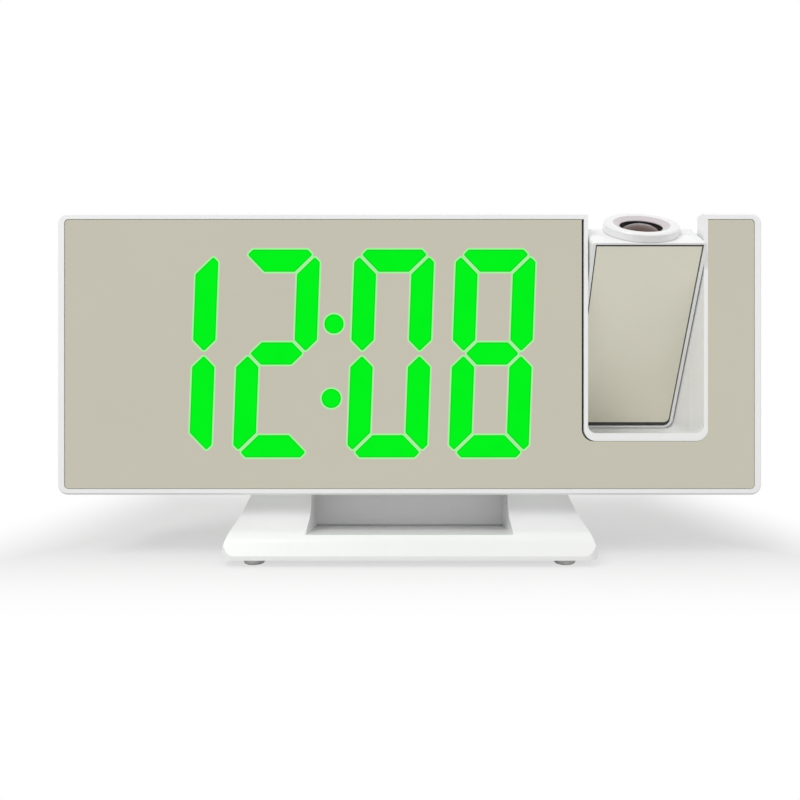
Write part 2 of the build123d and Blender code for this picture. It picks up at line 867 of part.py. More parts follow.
with BuildPart() as board_screws:
    for x, z in board_post_places:
        seat = Plane(origin=(x, front_y + main_board_d, z), x_dir=(1, 0, 0), z_dir=(0, -1, 0))
        add(screw_solid(seat, main_board_t + board_screw_bite, head_t=board_head_t))
board_screws.part.label = "board_screws"
export_step(board_screws.part, "parts/board_screws.step")

with BuildPart() as control_chips:
    for chip_in, chip_up, chip_w, chip_h in chips:
        with BuildSketch(back_plane(main_back_d + chip_t)):
            with Locations((main_board_right - chip_in, main_board_low + chip_up)):
                Rectangle(chip_w, chip_h)
        extrude(amount=chip_t)
control_chips.part.label = "control_chips"
export_step(control_chips.part, "parts/control_chips.step")

capacitor_places = [(main_board_right - x, main_board_low + up) for x, up in capacitor_marks]

with BuildPart() as capacitors:
    with BuildSketch(back_plane(main_back_d + capacitor_t)):
        with Locations(*capacitor_places):
            Circle(capacitor_r)
    extrude(amount=capacitor_t)
    fillet(capacitors.faces().group_by(Axis.Y)[-1].edges(), radius=capacitor_round)
capacitors.part.label = "capacitors"
export_step(capacitors.part, "parts/capacitors.step")

with BuildPart() as buzzer:
    with BuildSketch(back_plane(main_back_d + buzzer_t)):
        with Locations((sound_x, sound_z)):
            Circle(buzzer_r)
    extrude(amount=buzzer_t)
    fillet(buzzer.faces().sort_by(Axis.Y)[-1].edges(), radius=buzzer_round)
    with BuildSketch(back_plane(main_back_d + buzzer_t)):
        with Locations((sound_x, sound_z)):
            Circle(buzzer_hole_r)
    extrude(amount=buzzer_hole_depth, mode=Mode.SUBTRACT)
buzzer.part.label = "buzzer"
export_step(buzzer.part, "parts/buzzer.step")

with BuildPart() as key_domes:
    with BuildSketch(back_plane(main_back_d + dome_t)):
        with Locations(*[(x, key_z) for x in key_xs]):
            Circle(dome_r)
    extrude(amount=dome_t)
    chamfer(key_domes.faces().group_by(Axis.Y)[-1].edges(), length=dome_crown, length2=dome_slope)
key_domes.part.label = "key_domes"
export_step(key_domes.part, "parts/key_domes.step")

snooze_stem_z = room_top_z - fit_gap - key_flange_t - snooze_stem_l
switch_top_z = snooze_stem_z - snooze_travel - fit_gap

with BuildPart() as snooze_switch:
    with BuildSketch(back_plane(main_back_d + switch_t)):
        with Locations((snooze_x, switch_top_z - plunger_h - switch_h / 2)):
            Rectangle(switch_w, switch_h)
        with Locations((snooze_x, switch_top_z - plunger_h)):
            Rectangle(plunger_w, 2 * plunger_h)
    extrude(amount=switch_t)
snooze_switch.part.label = "snooze_switch"
export_step(snooze_switch.part, "parts/snooze_switch.step")

# ---------------------------------------------------------------- sockets

jack_back_d = room_back_d - fit_gap

with BuildPart() as dc_power_jack:
    with BuildSketch(back_plane(jack_back_d)):
        with Locations((jack_x, jack_z)):
            Rectangle(jack_size, jack_size)
    extrude(amount=jack_back_d - main_back_d)
    with BuildSketch(back_plane(jack_back_d)):
        with Locations((jack_x, jack_z)):
            Circle(jack_bore_r)
    extrude(amount=jack_bore_depth, mode=Mode.SUBTRACT)
dc_power_jack.part.label = "dc_power_jack"
export_step(dc_power_jack.part, "parts/dc_power_jack.step")

with BuildPart() as dc_jack_pin:
    with BuildSketch(back_plane(jack_back_d - jack_pin_sink)):
        with Locations((jack_x, jack_z)):
            Circle(jack_pin_r)
    extrude(amount=jack_bore_depth - jack_pin_sink)
    fillet(dc_jack_pin.faces().sort_by(Axis.Y)[-1].edges(), radius=jack_pin_round)
dc_jack_pin.part.label = "dc_jack_pin"
export_step(dc_jack_pin.part, "parts/dc_jack_pin.step")

usb_back_d = body_d - usb_sink

with BuildPart() as usb_charging_port:
    with BuildSketch(back_plane(usb_back_d)):
        with Locations((usb_x, usb_z)):
            RectangleRounded(usb_w, usb_h, usb_corner_r)
    extrude(amount=usb_back_d - main_back_d)
    with BuildSketch(back_plane(usb_back_d)):
        with Locations((usb_x, usb_z)):
            Rectangle(usb_w - 2 * usb_wall, usb_h - 2 * usb_wall)
    extrude(amount=usb_back_d - main_back_d - usb_floor_t, mode=Mode.SUBTRACT)
usb_charging_port.part.label = "usb_charging_port"
export_step(usb_charging_port.part, "parts/usb_charging_port.step")

with BuildPart() as usb_tongue:
    with BuildSketch(back_plane(usb_back_d - tongue_sink)):
        with Locations((usb_x, usb_z + usb_h / 2 - usb_wall - tongue_gap - tongue_h / 2)):
            Rectangle(tongue_w, tongue_h)
    extrude(amount=usb_back_d - tongue_sink - main_back_d - usb_floor_t)
usb_tongue.part.label = "usb_tongue"
export_step(usb_tongue.part, "parts/usb_tongue.step")

# ---------------------------------------------------------------- coin cell and its door

with BuildPart() as backup_cell:
    with BuildSketch(back_plane(cell_front_d + cell_t)):
        with Locations((cell_x, cell_z)):
            Circle(cell_r)
    extrude(amount=cell_t)
    fillet(backup_cell.edges().filter_by(GeomType.CIRCLE), radius=cell_round)
backup_cell.part.label = "backup_cell"
export_step(backup_cell.part, "parts/backup_cell.step")

with BuildPart() as cell_contacts:
    with BuildSketch(back_plane(cell_front_d - fit_gap / 2)):
        with Locations((cell_x, cell_z)):
            Rectangle(contact_l, contact_w)
    extrude(amount=contact_t)
    with BuildSketch(back_plane(groove_front_d - fit_gap)):
        with Locations((cell_x + cell_r + contact_pocket / 2, cell_z)):
            Rectangle(contact_t, contact_w)
    extrude(amount=cell_t - fit_gap)
cell_contacts.part.label = "cell_contacts"
export_step(cell_contacts.part, "parts/cell_contacts.step")

with BuildPart() as battery_door:
    with BuildSketch(back_plane(body_d)):
        with Locations((cell_x, cell_z)):
            Circle(door_r)
    extrude(amount=door_t)
    chamfer(battery_door.faces().sort_by(Axis.Y)[-1].edges(), length=door_chamfer)
    with BuildSketch(back_plane(body_d - door_t + lug_t)):
        with Locations((cell_x, cell_z)):
            Rectangle(2 * (door_r + lug_reach), lug_w)
    extrude(amount=lug_t)
    with BuildSketch(back_plane(body_d)):
        with Locations((cell_x, cell_z)):
            SlotOverall(coin_slot_w, coin_slot_h, rotation=90)
    extrude(amount=coin_slot_depth, mode=Mode.SUBTRACT)
battery_door.part.label = "battery_door"
export_step(battery_door.part, "parts/battery_door.step")

# ---------------------------------------------------------------- keys

key_names = ("mode_key", "alarm_key", "minus_key", "plus_key", "projector_key")
key_back_d = body_d + key_proud
stem_front_d = main_back_d + dome_t + key_travel + fit_gap


def draw_mark(name):
    """Adds a key's raised mark to the open sketch."""
    if name in ("minus_key", "plus_key"):
        Rectangle(mark_size, mark_line)
    if name == "plus_key":
        Rectangle(mark_line, mark_size)
    if name == "mode_key":
        with GridLocations(mark_pitch, 0, 3, 1):
            Circle(mark_line / 2)
    if name == "alarm_key":
        Circle(mark_size / 2)
        Circle(mark_size / 2 - mark_line, mode=Mode.SUBTRACT)
    if name == "projector_key":
        RegularPolygon(mark_size / 2, 3, rotation=90)


for x, key_name in zip(key_xs, key_names):
    with BuildPart() as key:
        with BuildSketch(back_plane(key_back_d)):
            with Locations((x, key_z)):
                RectangleRounded(key_w, key_h, key_r)
        extrude(amount=key_back_d - room_back_d + fit_gap)
        fillet(key.faces().sort_by(Axis.Y)[-1].edges(), radius=key_round)
        with BuildSketch(back_plane(room_back_d - fit_gap)):
            with Locations((x, key_z)):
                RectangleRounded(key_w + 2 * key_flange, key_h + 2 * key_flange, key_r)
        extrude(amount=key_flange_t)
        with BuildSketch(back_plane(room_back_d - fit_gap - key_flange_t)):
            with Locations((x, key_z)):
                Circle(key_stem_r)
        extrude(amount=room_back_d - fit_gap - key_flange_t - stem_front_d)
        with BuildSketch(back_plane(key_back_d + mark_t)):
            with Locations((x, key_z)):
                draw_mark(key_name)
        extrude(amount=mark_t + overlap)
    key.part.label = key_name
    export_step(key.part, f"parts/{key_name}.step")

with BuildPart() as snooze_bar:
    with BuildSketch(Plane.XY.offset(room_top_z - fit_gap)):
        with Locations((snooze_x, front_y + snooze_depth)):
            RectangleRounded(snooze_w, snooze_d, key_r)
    extrude(amount=wall + fit_gap + snooze_proud)
    fillet(snooze_bar.faces().sort_by(Axis.Z)[-1].edges(), radius=snooze_round)
    with BuildSketch(Plane.XY.offset(room_top_z - fit_gap - key_flange_t)):
        with Locations((snooze_x, front_y + snooze_depth)):
            RectangleRounded(snooze_w + 2 * key_flange, snooze_d + 2 * key_flange, key_r)
    extrude(amount=key_flange_t)
    with BuildSketch(Plane.XY.offset(snooze_stem_z)):
        with Locations((snooze_x, front_y + main_back_d + switch_t / 2)):
            Rectangle(switch_w - 2 * head_gap, switch_t - 2 * head_gap)
    extrude(amount=room_top_z - fit_gap - key_flange_t - snooze_stem_z)
snooze_bar.part.label = "snooze_bar"
export_step(snooze_bar.part, "parts/snooze_bar.step")

# ---------------------------------------------------------------- case screws

with BuildPart() as case_screws:
    for x, z in case_screw_places:
        seat = Plane(origin=(x, front_y + body_d - sink_d, z), x_dir=(1, 0, 0), z_dir=(0, 1, 0))
        add(screw_solid(seat, body_d - sink_d - frame_d - fit_gap))
case_screws.part.label = "case_screws"
export_step(case_screws.part, "parts/case_screws.step")

# ---------------------------------------------------------------- stand


def stand_block(inset):
    """The stand's outer shape, drawn in all round: where a side, a front and a plan outline all meet."""
    with BuildPart() as block:
        with BuildSketch(Plane.YZ) as side_view:
            with BuildLine():
                Polyline(
                    (front_y - toe_out, base_z),
                    (front_y - toe_out, toe_z),
                    (front_y + instep_d, instep_z),
                    (front_y + ankle_d, ankle_z),
                    (front_y + ankle_d, body_z),
                    (front_y + heel_top_d, body_z),
                    (front_y + heel_back, heel_z),
                    (front_y + heel_back, base_z),
                    close=True,
                )
            make_face()
            for depth, z, bend_r in (
                (instep_d, instep_z, instep_r),
                (ankle_d, ankle_z, ankle_r),
                (heel_back, heel_z, heel_r),
            ):
                corner = side_view.vertices().sort_by_distance((front_y + depth, z))[0]
                fillet(corner, radius=bend_r)
            offset(amount=-inset, kind=Kind.INTERSECTION)
        extrude(amount=base_half_w + over, both=True)
        with BuildSketch(Plane.XZ):
            with BuildLine():
                Line((-base_half_w, base_z), (base_half_w, base_z))
                ThreePointArc(
                    (base_half_w, base_z), (base_mid_half_w, base_mid_z), (base_top_half_w, body_z)
                )
                Line((base_top_half_w, body_z), (-base_top_half_w, body_z))
                ThreePointArc(
                    (-base_top_half_w, body_z), (-base_mid_half_w, base_mid_z), (-base_half_w, base_z)
                )
            make_face()
            offset(amount=-inset, kind=Kind.INTERSECTION)
        extrude(amount=toe_out + heel_back, both=True, mode=Mode.INTERSECT)
        with BuildSketch(Plane.XY):
            stand_plan(inset)
        extrude(amount=body_z + over, mode=Mode.INTERSECT)
    return block.part


def stand_plan(inset):
    """Adds the stand's plan outline, drawn in all round, to the open sketch."""
    RectangleRounded(
        2 * (base_half_w - inset), toe_out + heel_back - 2 * inset, base_corner_r - inset
    )


def well_solid(grow):
    """The open well between the stand's legs, grown on its back, sides and floor."""
    with BuildPart() as well:
        with BuildSketch(side_plane(-well_half_w - grow)):
            with BuildLine():
                Polyline(
                    (front_y - toe_out - over, well_lip_z - grow),
                    (front_y + well_lip_d, well_lip_z - grow),
                    (front_y + well_back_d + grow, well_floor_z - grow),
                    (front_y + well_back_d + grow, body_z + over),
                    (front_y - toe_out - over, body_z + over),
                    close=True,
                )
            make_face()
        extrude(amount=2 * (well_half_w + grow))
    return well.part


stand_outer = stand_block(0)
stand_inner = stand_block(stand_wall)
plate_half_w = base_half_w - stand_wall - plate_gap - plate_side
plate_front_d = -toe_out + stand_wall + plate_end
plate_back_d = heel_back - stand_wall - plate_end
base_post_places = [
    (side * across, depth)
    for side in (-1, 1)
    for across, depth in (
        (base_half_w - base_post_side, base_post_front_d),
        (base_post_mid, base_post_back_d),
    )
]
foot_places = [(x, depth) for x in (-foot_x, foot_x) for depth in (foot_front_d, foot_back_d)]

with BuildPart() as stand_core:
    add(stand_inner)
    # The room inside is open below.
    with BuildSketch(Plane.XY.offset(base_z - over)):
        stand_plan(stand_wall)
    extrude(amount=over + stand_wall + overlap)
    add(well_solid(stand_wall), mode=Mode.SUBTRACT)
    with BuildSketch(Plane.XY):
        with Locations(*[(x, front_y + depth) for x, depth in base_post_places]):
            Circle(base_post_r)
    extrude(amount=body_z, mode=Mode.SUBTRACT)

with BuildPart() as stand_shell:
    add(stand_outer)
    add(well_solid(0), mode=Mode.SUBTRACT)
    add(stand_core.part, mode=Mode.SUBTRACT)
    with BuildSketch(Plane.XY.offset(base_z - over)):
        with Locations((0, front_y + (plate_front_d + plate_back_d) / 2)):
            Rectangle(2 * (plate_half_w + plate_gap), plate_back_d - plate_front_d + 2 * plate_gap)
    extrude(amount=over + plate_t + fit_gap, mode=Mode.SUBTRACT)
    with BuildSketch(Plane.XY.offset(body_z + over)):
        with Locations(*[(x, front_y + stand_screw_d) for x in (-stand_screw_x, stand_screw_x)]):
            Circle(stand_screw_r + head_gap)
    extrude(amount=-stand_wall - 2 * over, mode=Mode.SUBTRACT)
    with BuildSketch(Plane.XY.offset(base_z)):
        with Locations(*[(x, front_y + depth) for x, depth in base_post_places]):
            Circle(pilot_r)
    extrude(amount=plate_t + base_pilot_depth, mode=Mode.SUBTRACT)
    with BuildSketch(back_plane(well_back_d + well_seam_depth)):
        with Locations((0, well_floor_z + well_seam_w / 2)):
            Rectangle(2 * well_half_w, well_seam_w)
    extrude(amount=well_seam_depth + overlap, mode=Mode.SUBTRACT)
stand_shell.part.label = "stand_shell"
export_step(stand_shell.part, "parts/stand_shell.step")

with BuildPart() as stand_base_plate:
    with BuildSketch(Plane.XY.offset(base_z)):
        with Locations((0, front_y + (plate_front_d + plate_back_d) / 2)):
            RectangleRounded(2 * plate_half_w, plate_back_d - plate_front_d, plate_corner_r)
        with Locations(*[(x, front_y + depth) for x, depth in base_post_places]):
            Circle(screw_r + head_gap, mode=Mode.SUBTRACT)
        with Locations(*[(x, front_y + depth) for x, depth in foot_places]):
            Circle(foot_peg_r + run_gap, mode=Mode.SUBTRACT)
    extrude(amount=plate_t)
    with BuildSketch(Plane.XY.offset(base_z)):
        with Locations(*[(x, front_y + depth) for x, depth in base_post_places]):
            Circle(screw_head_r + head_gap)
    extrude(amount=base_head_t + fit_gap, mode=Mode.SUBTRACT)
stand_base_plate.part.label = "stand_base_plate"
export_step(stand_base_plate.part, "parts/stand_base_plate.step")

with BuildPart() as rubber_feet:
    for x, depth in foot_places:
        with BuildSketch(Plane.XY):
            with Locations((x, front_y + depth)):
                Circle(foot_r)
        extrude(amount=base_z)
    fillet(rubber_feet.faces().group_by(Axis.Z)[0].edges(), radius=foot_r - foot_flat_r)
    with BuildSketch(Plane.XY.offset(base_z - overlap)):
        with Locations(*[(x, front_y + depth) for x, depth in foot_places]):
            Circle(foot_peg_r)
    extrude(amount=plate_t)
rubber_feet.part.label = "rubber_feet"
export_step(rubber_feet.part, "parts/rubber_feet.step")

with BuildPart() as stand_screws:
    for x in (-stand_screw_x, stand_screw_x):
        seat = Plane(
            origin=(x, front_y + stand_screw_d, body_z - stand_wall), x_dir=(1, 0, 0), z_dir=(0, 0, -1)
        )
        length = stand_wall + stand_boss_h - screw_end_gap
        add(screw_solid(seat, length, stand_head_r, stand_head_t, stand_screw_r))
stand_screws.part.label = "stand_screws"
export_step(stand_screws.part, "parts/stand_screws.step")

with BuildPart() as base_screws:
    for x, depth in base_post_places:
        seat = Plane(
            origin=(x, front_y + depth, base_z + base_head_t + fit_gap), x_dir=(1, 0, 0), z_dir=(0, 0, -1)
        )
        add(screw_solid(seat, plate_t + base_screw_bite, head_t=base_head_t))
base_screws.part.label = "base_screws"
export_step(base_screws.part, "parts/base_screws.step")

# ---------------------------------------------------------------- the arm's own frame

lean = radians(tilt)
arm = Plane(
    origin=(bay_x, pivot_y, pivot_z), x_dir=(1, 0, 0), z_dir=(0, -cos(lean), -sin(lean))
)


def arm_point(x, back, up):
    """The place that lies across, behind and above the arm's pivot, in the leaning arm's own directions."""
    return arm.from_local_coords(Vector(x, up, -back))


def arm_side(x):
    """The plane across the arm at x from its middle: its x runs backwards and its y up the arm."""
    return Plane(origin=arm_point(x, 0, 0), x_dir=-arm.z_dir, z_dir=(1, 0, 0))


def lens_plane(up):
    """The plane square to the lens axis, this far up the arm: its x is X and its y runs backwards."""
    return Plane(origin=arm_point(0, -lens_ahead, up), x_dir=(1, 0, 0), z_dir=arm.y_dir)


def lens_section():
    """The plane through the lens axis: its x is the distance from the axis and its y runs up the arm."""
    return Plane(origin=arm_point(0, -lens_ahead, 0), x_dir=(1, 0, 0), z_dir=arm.z_dir)


lens_axis = Axis(arm_point(0, -lens_ahead, 0), arm.y_dir)


def dome_middle(radius, rise):
    """Half way along a dome's arc from its rim to its top: its distance from the axis, and its height."""
    sphere_r = (radius**2 + rise**2) / (2 * rise)
    half_angle = asin(radius / sphere_r) / 2
    return sphere_r * sin(half_angle), rise - sphere_r * (1 - cos(half_angle))


def low_point(back, radius):
    """The place on the arm's lower arc that is this far behind the pivot."""
    return (back, -sqrt(radius**2 - back**2))


def arm_solid(inset, front_inset):
    """The arm's box, drawn in all round: its lower end is an arc about the pivot."""
    front = -arm_front + front_inset
    top = arm_top - inset
    rear = arm_rear - inset
    radius = arm_r - inset
    rear_low = arm_rear_low - inset
    with BuildPart() as box:
        with BuildSketch(arm_side(-arm_w / 2 + inset)):
            with BuildLine():
                Polyline(
                    low_point(front, radius),
                    (front, top),
                    (arm_rear_top - inset, top),
                    (rear, arm_shoulder_v),
                    (rear, arm_taper_v),
                    low_point(rear_low, radius),
                )
                ThreePointArc(
                    low_point(rear_low, radius),
                    low_point((rear_low + front) / 2, radius),
                    low_point(front, radius),
                )
            make_face()
        extrude(amount=arm_w - 2 * inset)
        fillet(box.edges().filter_by(GeomType.CIRCLE), radius=arm_low_corner_r - inset)
        if not inset:
            across_edges = box.edges().filter_by(Axis(arm.origin, arm.z_dir))
            fillet(across_edges.group_by(Axis(arm.origin, arm.y_dir))[-1], radius=arm_top_corner_r)
    return box.part


# ---------------------------------------------------------------- the arm's shells and mirror

barrel_r = lens_r + run_gap + lens_wall + run_gap + barrel_wall
hump_r = barrel_r + hump_gap + hump_wall
arm_recess = arm_mirror_sink + arm_mirror_t + arm_tape_t
recess_w = arm_w - 2 * arm_bezel
recess_top = arm_top - arm_bezel_top
recess_low = -sqrt(arm_r**2 - arm_front**2) + arm_bezel_top
recess_corner_r = arm_low_corner_r - arm_bezel
arm_screw_x = arm_w / 2 - arm_screw_side
arm_screw_places = [
    (x, up) for x in (-arm_screw_x, arm_screw_x) for up in (arm_top - arm_screw_down, arm_screw_up - arm_r)
]
hump_seat = hump_r - arm_front + lens_ahead + arm_recess + arm_face_wall
taper_slope = (arm_rear - arm_rear_low) / (sqrt(arm_r**2 - arm_rear_low**2) + arm_taper_v)


def arm_back_at(up):
    """How far behind the pivot the arm's rear face lies at this height."""
    if up > arm_shoulder_v:
        return arm_rear - (arm_rear - arm_rear_top) * (up - arm_shoulder_v) / (arm_top - arm_shoulder_v)
    if up < arm_taper_v:
        return arm_rear - (arm_taper_v - up) * taper_slope
    return arm_rear


def draw_face(side_inset, low_inset, top_inset, mode=Mode.ADD):
    """Draws the outline of the recess in the arm's face, drawn in at its sides and ends."""
    low = recess_low + low_inset
    top = recess_top - top_inset
    half = recess_w / 2 - side_inset
    corner_r = recess_corner_r - side_inset
    with BuildLine(mode=Mode.PRIVATE) as edge:
        FilletPolyline((-half, top), (-half, low), (half, low), (half, top), radius=corner_r)
        Line((half, top), (-half, top))
    make_face(edge.edges(), mode=mode)


with BuildPart() as arm_casing:
    add(arm_solid(0, 0))
    with BuildSketch(lens_plane(hump_low)):
        Circle(hump_r)
    extrude(amount=arm_shoulder_v + hump_high - hump_low)
    add(arm_solid(arm_wall, arm_recess + arm_face_wall), mode=Mode.SUBTRACT)
    with BuildSketch(lens_plane(hump_low + hump_wall)):
        Circle(hump_r - hump_wall)
        with Locations((0, -hump_r)):
            Rectangle(2 * hump_r, 2 * hump_seat, mode=Mode.SUBTRACT)
    extrude(amount=arm_top - arm_wall - hump_low - hump_wall, mode=Mode.SUBTRACT)
    with BuildSketch(lens_plane(arm_top - arm_wall - over)):
        Circle(barrel_r + fit_gap)
    extrude(amount=arm_wall + 2 * over, mode=Mode.SUBTRACT)
    with BuildSketch(arm.offset(arm_front - arm_recess)):
        draw_face(0, 0, 0)
    extrude(amount=arm_recess + over, mode=Mode.SUBTRACT)

with BuildPart() as projector_front_shell:
    add(arm_casing.part)
    split(bisect_by=arm.offset(arm_split), keep=Keep.TOP)
    with BuildSketch(arm.offset(arm_split)):
        with Locations(*arm_screw_places):
            Circle(arm_post_r)
    extrude(amount=arm_front - arm_recess - arm_face_wall - arm_split + overlap)
    with BuildSketch(arm.offset(tube_d / 2 + lens_ahead + fit_gap)):
        with Locations(*[(0, up) for up in rib_places]):
            Rectangle(tube_w, rib_t)
    extrude(amount=arm_front - arm_recess - arm_face_wall + overlap - tube_d / 2 - lens_ahead - fit_gap)
    with BuildSketch(arm.offset(arm_split)):
        with Locations(*arm_screw_places):
            Circle(pilot_r)
    extrude(amount=arm_pilot_depth, mode=Mode.SUBTRACT)
projector_front_shell.part.label = "projector_front_shell"
export_step(projector_front_shell.part, "parts/projector_front_shell.step")

with BuildPart() as projector_rear_shell:
    add(arm_casing.part)
    split(bisect_by=arm.offset(arm_split - seam_gap), keep=Keep.BOTTOM)
    for x, up in arm_screw_places:
        with BuildSketch(arm.offset(-arm_back_at(up) + arm_screw_seat)):
            with Locations((x, up)):
                Circle(arm_post_r + arm_boss_wall)
        extrude(amount=arm_split - seam_gap + arm_back_at(up) - arm_screw_seat)
    for x, up in arm_screw_places:
        with BuildSketch(arm.offset(-arm_back_at(up) + arm_screw_seat)):
            with Locations((x, up)):
                Circle(arm_head_r + head_gap)
        extrude(amount=-arm_screw_seat - over, mode=Mode.SUBTRACT)
        with BuildSketch(arm.offset(-arm_back_at(up) - over)):
            with Locations((x, up)):
                Circle(screw_r + head_gap)
        extrude(amount=arm_front, mode=Mode.SUBTRACT)
    with BuildSketch(arm_side(-arm_w / 2 - over)):
        Circle(pin_r + run_gap)
    extrude(amount=arm_w + 2 * over, mode=Mode.SUBTRACT)
projector_rear_shell.part.label = "projector_rear_shell"
export_step(projector_rear_shell.part, "parts/projector_rear_shell.step")

with BuildPart() as projector_mirror_tape:
    with BuildSketch(arm.offset(arm_front - arm_recess)):
        draw_face(run_gap, run_gap, run_gap)
    extrude(amount=arm_tape_t)
    # Its rim fills the gap round the mirror.
    with BuildSketch(arm.offset(arm_front - arm_recess)):
        draw_face(run_gap, run_gap, run_gap)
        draw_face(
            arm_border_side - run_gap,
            arm_border_low - run_gap,
            arm_border_top - run_gap,
            mode=Mode.SUBTRACT,
        )
    extrude(amount=arm_tape_t + arm_mirror_t - arm_rim_sink)
projector_mirror_tape.part.label = "projector_mirror_tape"
export_step(projector_mirror_tape.part, "parts/projector_mirror_tape.step")

with BuildPart() as projector_mirror:
    with BuildSketch(arm.offset(arm_front - arm_recess + arm_tape_t)):
        draw_face(arm_border_side, arm_border_low, arm_border_top)
    extrude(amount=arm_mirror_t)
projector_mirror.part.label = "projector_mirror"
export_step(projector_mirror.part, "parts/projector_mirror.step")

with BuildPart() as projector_screws:
    for x, up in arm_screw_places:
        seat = Plane(
            origin=arm_point(x, arm_back_at(up) - arm_screw_seat, up), x_dir=(1, 0, 0), z_dir=-arm.z_dir
        )
        length = arm_split + arm_back_at(up) - arm_screw_seat + arm_screw_bite
        add(screw_solid(seat, length, arm_head_r, arm_head_t))
projector_screws.part.label = "projector_screws"
export_step(projector_screws.part, "parts/projector_screws.step")

# ---------------------------------------------------------------- the arm's pivot

pin_end = bay_w / 2 + pin_reach
pin_head_x = arm_w / 2 - arm_wall - run_gap
pin_head_back = arm_rear - arm_wall - fit_gap

with BuildPart() as pivot_tube:
    with BuildSketch(arm_side(-pin_end)):
        Circle(pin_r)
    extrude(amount=pin_end - pin_head_x + pin_head)
    with BuildSketch(arm_side(-pin_head_x)):
        with Locations((pin_head_back - pin_head_size / 2, 0)):
            Rectangle(pin_head_size, pin_head_size)
    extrude(amount=pin_head)
    with BuildSketch(arm_side(-pin_end)):
        Circle(pin_bore_r)
    extrude(amount=pin_end, mode=Mode.SUBTRACT)
pivot_tube.part.label = "pivot_tube"
export_step(pivot_tube.part, "parts/pivot_tube.step")

with BuildPart() as pivot_pin:
    with BuildSketch(arm_side(pin_end)):
        Circle(pin_r)
    extrude(amount=-(pin_end - pin_head_x + pin_head))
    with BuildSketch(arm_side(pin_head_x)):
        with Locations((pin_head_back - pin_head_size / 2, 0)):
            Rectangle(pin_head_size, pin_head_size)
    extrude(amount=-pin_head)
pivot_pin.part.label = "pivot_pin"
export_step(pivot_pin.part, "parts/pivot_pin.step")

with BuildPart() as pivot_bushes:
    for side, wall_x in ((-1, bay_left), (1, bay_right)):
        with BuildSketch(side_plane(wall_x)):
            with Locations((pivot_y, pivot_z)):
                Circle(pin_r + run_gap + bush_wall)
        extrude(amount=side * wall)
        with BuildSketch(side_plane(wall_x + side * wall)):
            with Locations((pivot_y, pivot_z)):
                Circle(bush_flange_r)
        extrude(amount=side * bush_flange_t)
        with BuildSketch(side_plane(wall_x)):
            with Locations((pivot_y, pivot_z)):
                Circle(pin_r + run_gap)
        extrude(amount=side * (wall + bush_flange_t), mode=Mode.SUBTRACT)
pivot_bushes.part.label = "pivot_bushes"
export_step(pivot_bushes.part, "parts/pivot_bushes.step")

with BuildPart() as friction_washers:
    for side, wall_x in ((-1, bay_left), (1, bay_right)):
        with BuildSketch(side_plane(wall_x - side * (arm_gap_side - washer_t) / 2)):
            with Locations((pivot_y, pivot_z)):
                Circle(washer_r)
                Circle(pin_r + fit_gap, mode=Mode.SUBTRACT)
        extrude(amount=-side * washer_t)
friction_washers.part.label = "friction_washers"
export_step(friction_washers.part, "parts/friction_washers.step")

# ---------------------------------------------------------------- the projector's optics

holder_r = lens_r + run_gap + lens_wall
holder_low = barrel_low + holder_gap_low
holder_top = arm_top + holder_proud
lens_seat = holder_top - lens_edge_t
barrel_top = arm_top + barrel_proud
plate_top = arm_top - arm_wall - fit_gap
plate_back = arm_rear_top - arm_wall - fit_gap
plate_front = -(arm_front - arm_recess - arm_face_wall - fit_gap)

with BuildPart() as lens_barrel:
    with BuildSketch(lens_plane(barrel_low)):
        Circle(barrel_r)
    extrude(amount=barrel_top - barrel_low)
    with BuildSketch(lens_plane(plate_top)):
        with Locations((0, (plate_back + plate_front) / 2 + lens_ahead)):
            Rectangle(barrel_plate_w, plate_back - plate_front)
    extrude(amount=-barrel_plate_t)
    with BuildSketch(lens_plane(barrel_low)):
        Circle(holder_r + run_gap)
    extrude(amount=barrel_top - barrel_low, mode=Mode.SUBTRACT)
lens_barrel.part.label = "lens_barrel"
export_step(lens_barrel.part, "parts/lens_barrel.step")

with BuildPart() as lens_holder:
    with BuildSketch(lens_plane(holder_low)):
        Circle(holder_r)
    extrude(amount=holder_top - holder_low)
    with BuildSketch(lens_plane(lens_seat)):
        Circle(lens_r + run_gap)
    extrude(amount=holder_top - lens_seat, mode=Mode.SUBTRACT)
    with BuildSketch(lens_plane(holder_low)):
        Circle(lens_r - lens_stop)
    extrude(amount=lens_seat - holder_low, mode=Mode.SUBTRACT)
lens_holder.part.label = "lens_holder"
export_step(lens_holder.part, "parts/lens_holder.step")

lens_mid_r, lens_mid_rise = dome_middle(lens_r, lens_rise)

with BuildPart() as projection_lens:
    with BuildSketch(lens_section()):
        with BuildLine():
            Polyline((0, holder_top + lens_rise), (0, lens_seat), (lens_r, lens_seat), (lens_r, holder_top))
            ThreePointArc(
                (lens_r, holder_top), (lens_mid_r, holder_top + lens_mid_rise), (0, holder_top + lens_rise)
            )
        make_face()
    revolve(axis=lens_axis)
projection_lens.part.label = "projection_lens"
export_step(projection_lens.part, "parts/projection_lens.step")

ring_low = arm_top + ring_lift
ring_top = arm_top + ring_proud
lip_low = barrel_top + fit_gap

with BuildPart() as focus_ring:
    with BuildSketch(lens_section()):
        with BuildLine():
            Polyline(
                (barrel_r + fit_gap, ring_low),
                (ring_r, ring_low),
                (ring_r, ring_top - ring_chamfer),
                (ring_r - ring_chamfer, ring_top),
                (ring_mouth_r, ring_top),
                (lens_r + ring_lip, lip_low + ring_lip_t),
                (lens_r + ring_lip, lip_low),
                (barrel_r + fit_gap, lip_low),
                close=True,
            )
        make_face()
    revolve(axis=lens_axis)
focus_ring.part.label = "focus_ring"
export_step(focus_ring.part, "parts/focus_ring.step")

tube_top = barrel_low - tube_gap
plate_seat = tube_top - plate_pocket
lens_ledge = tube_low + ledge_up

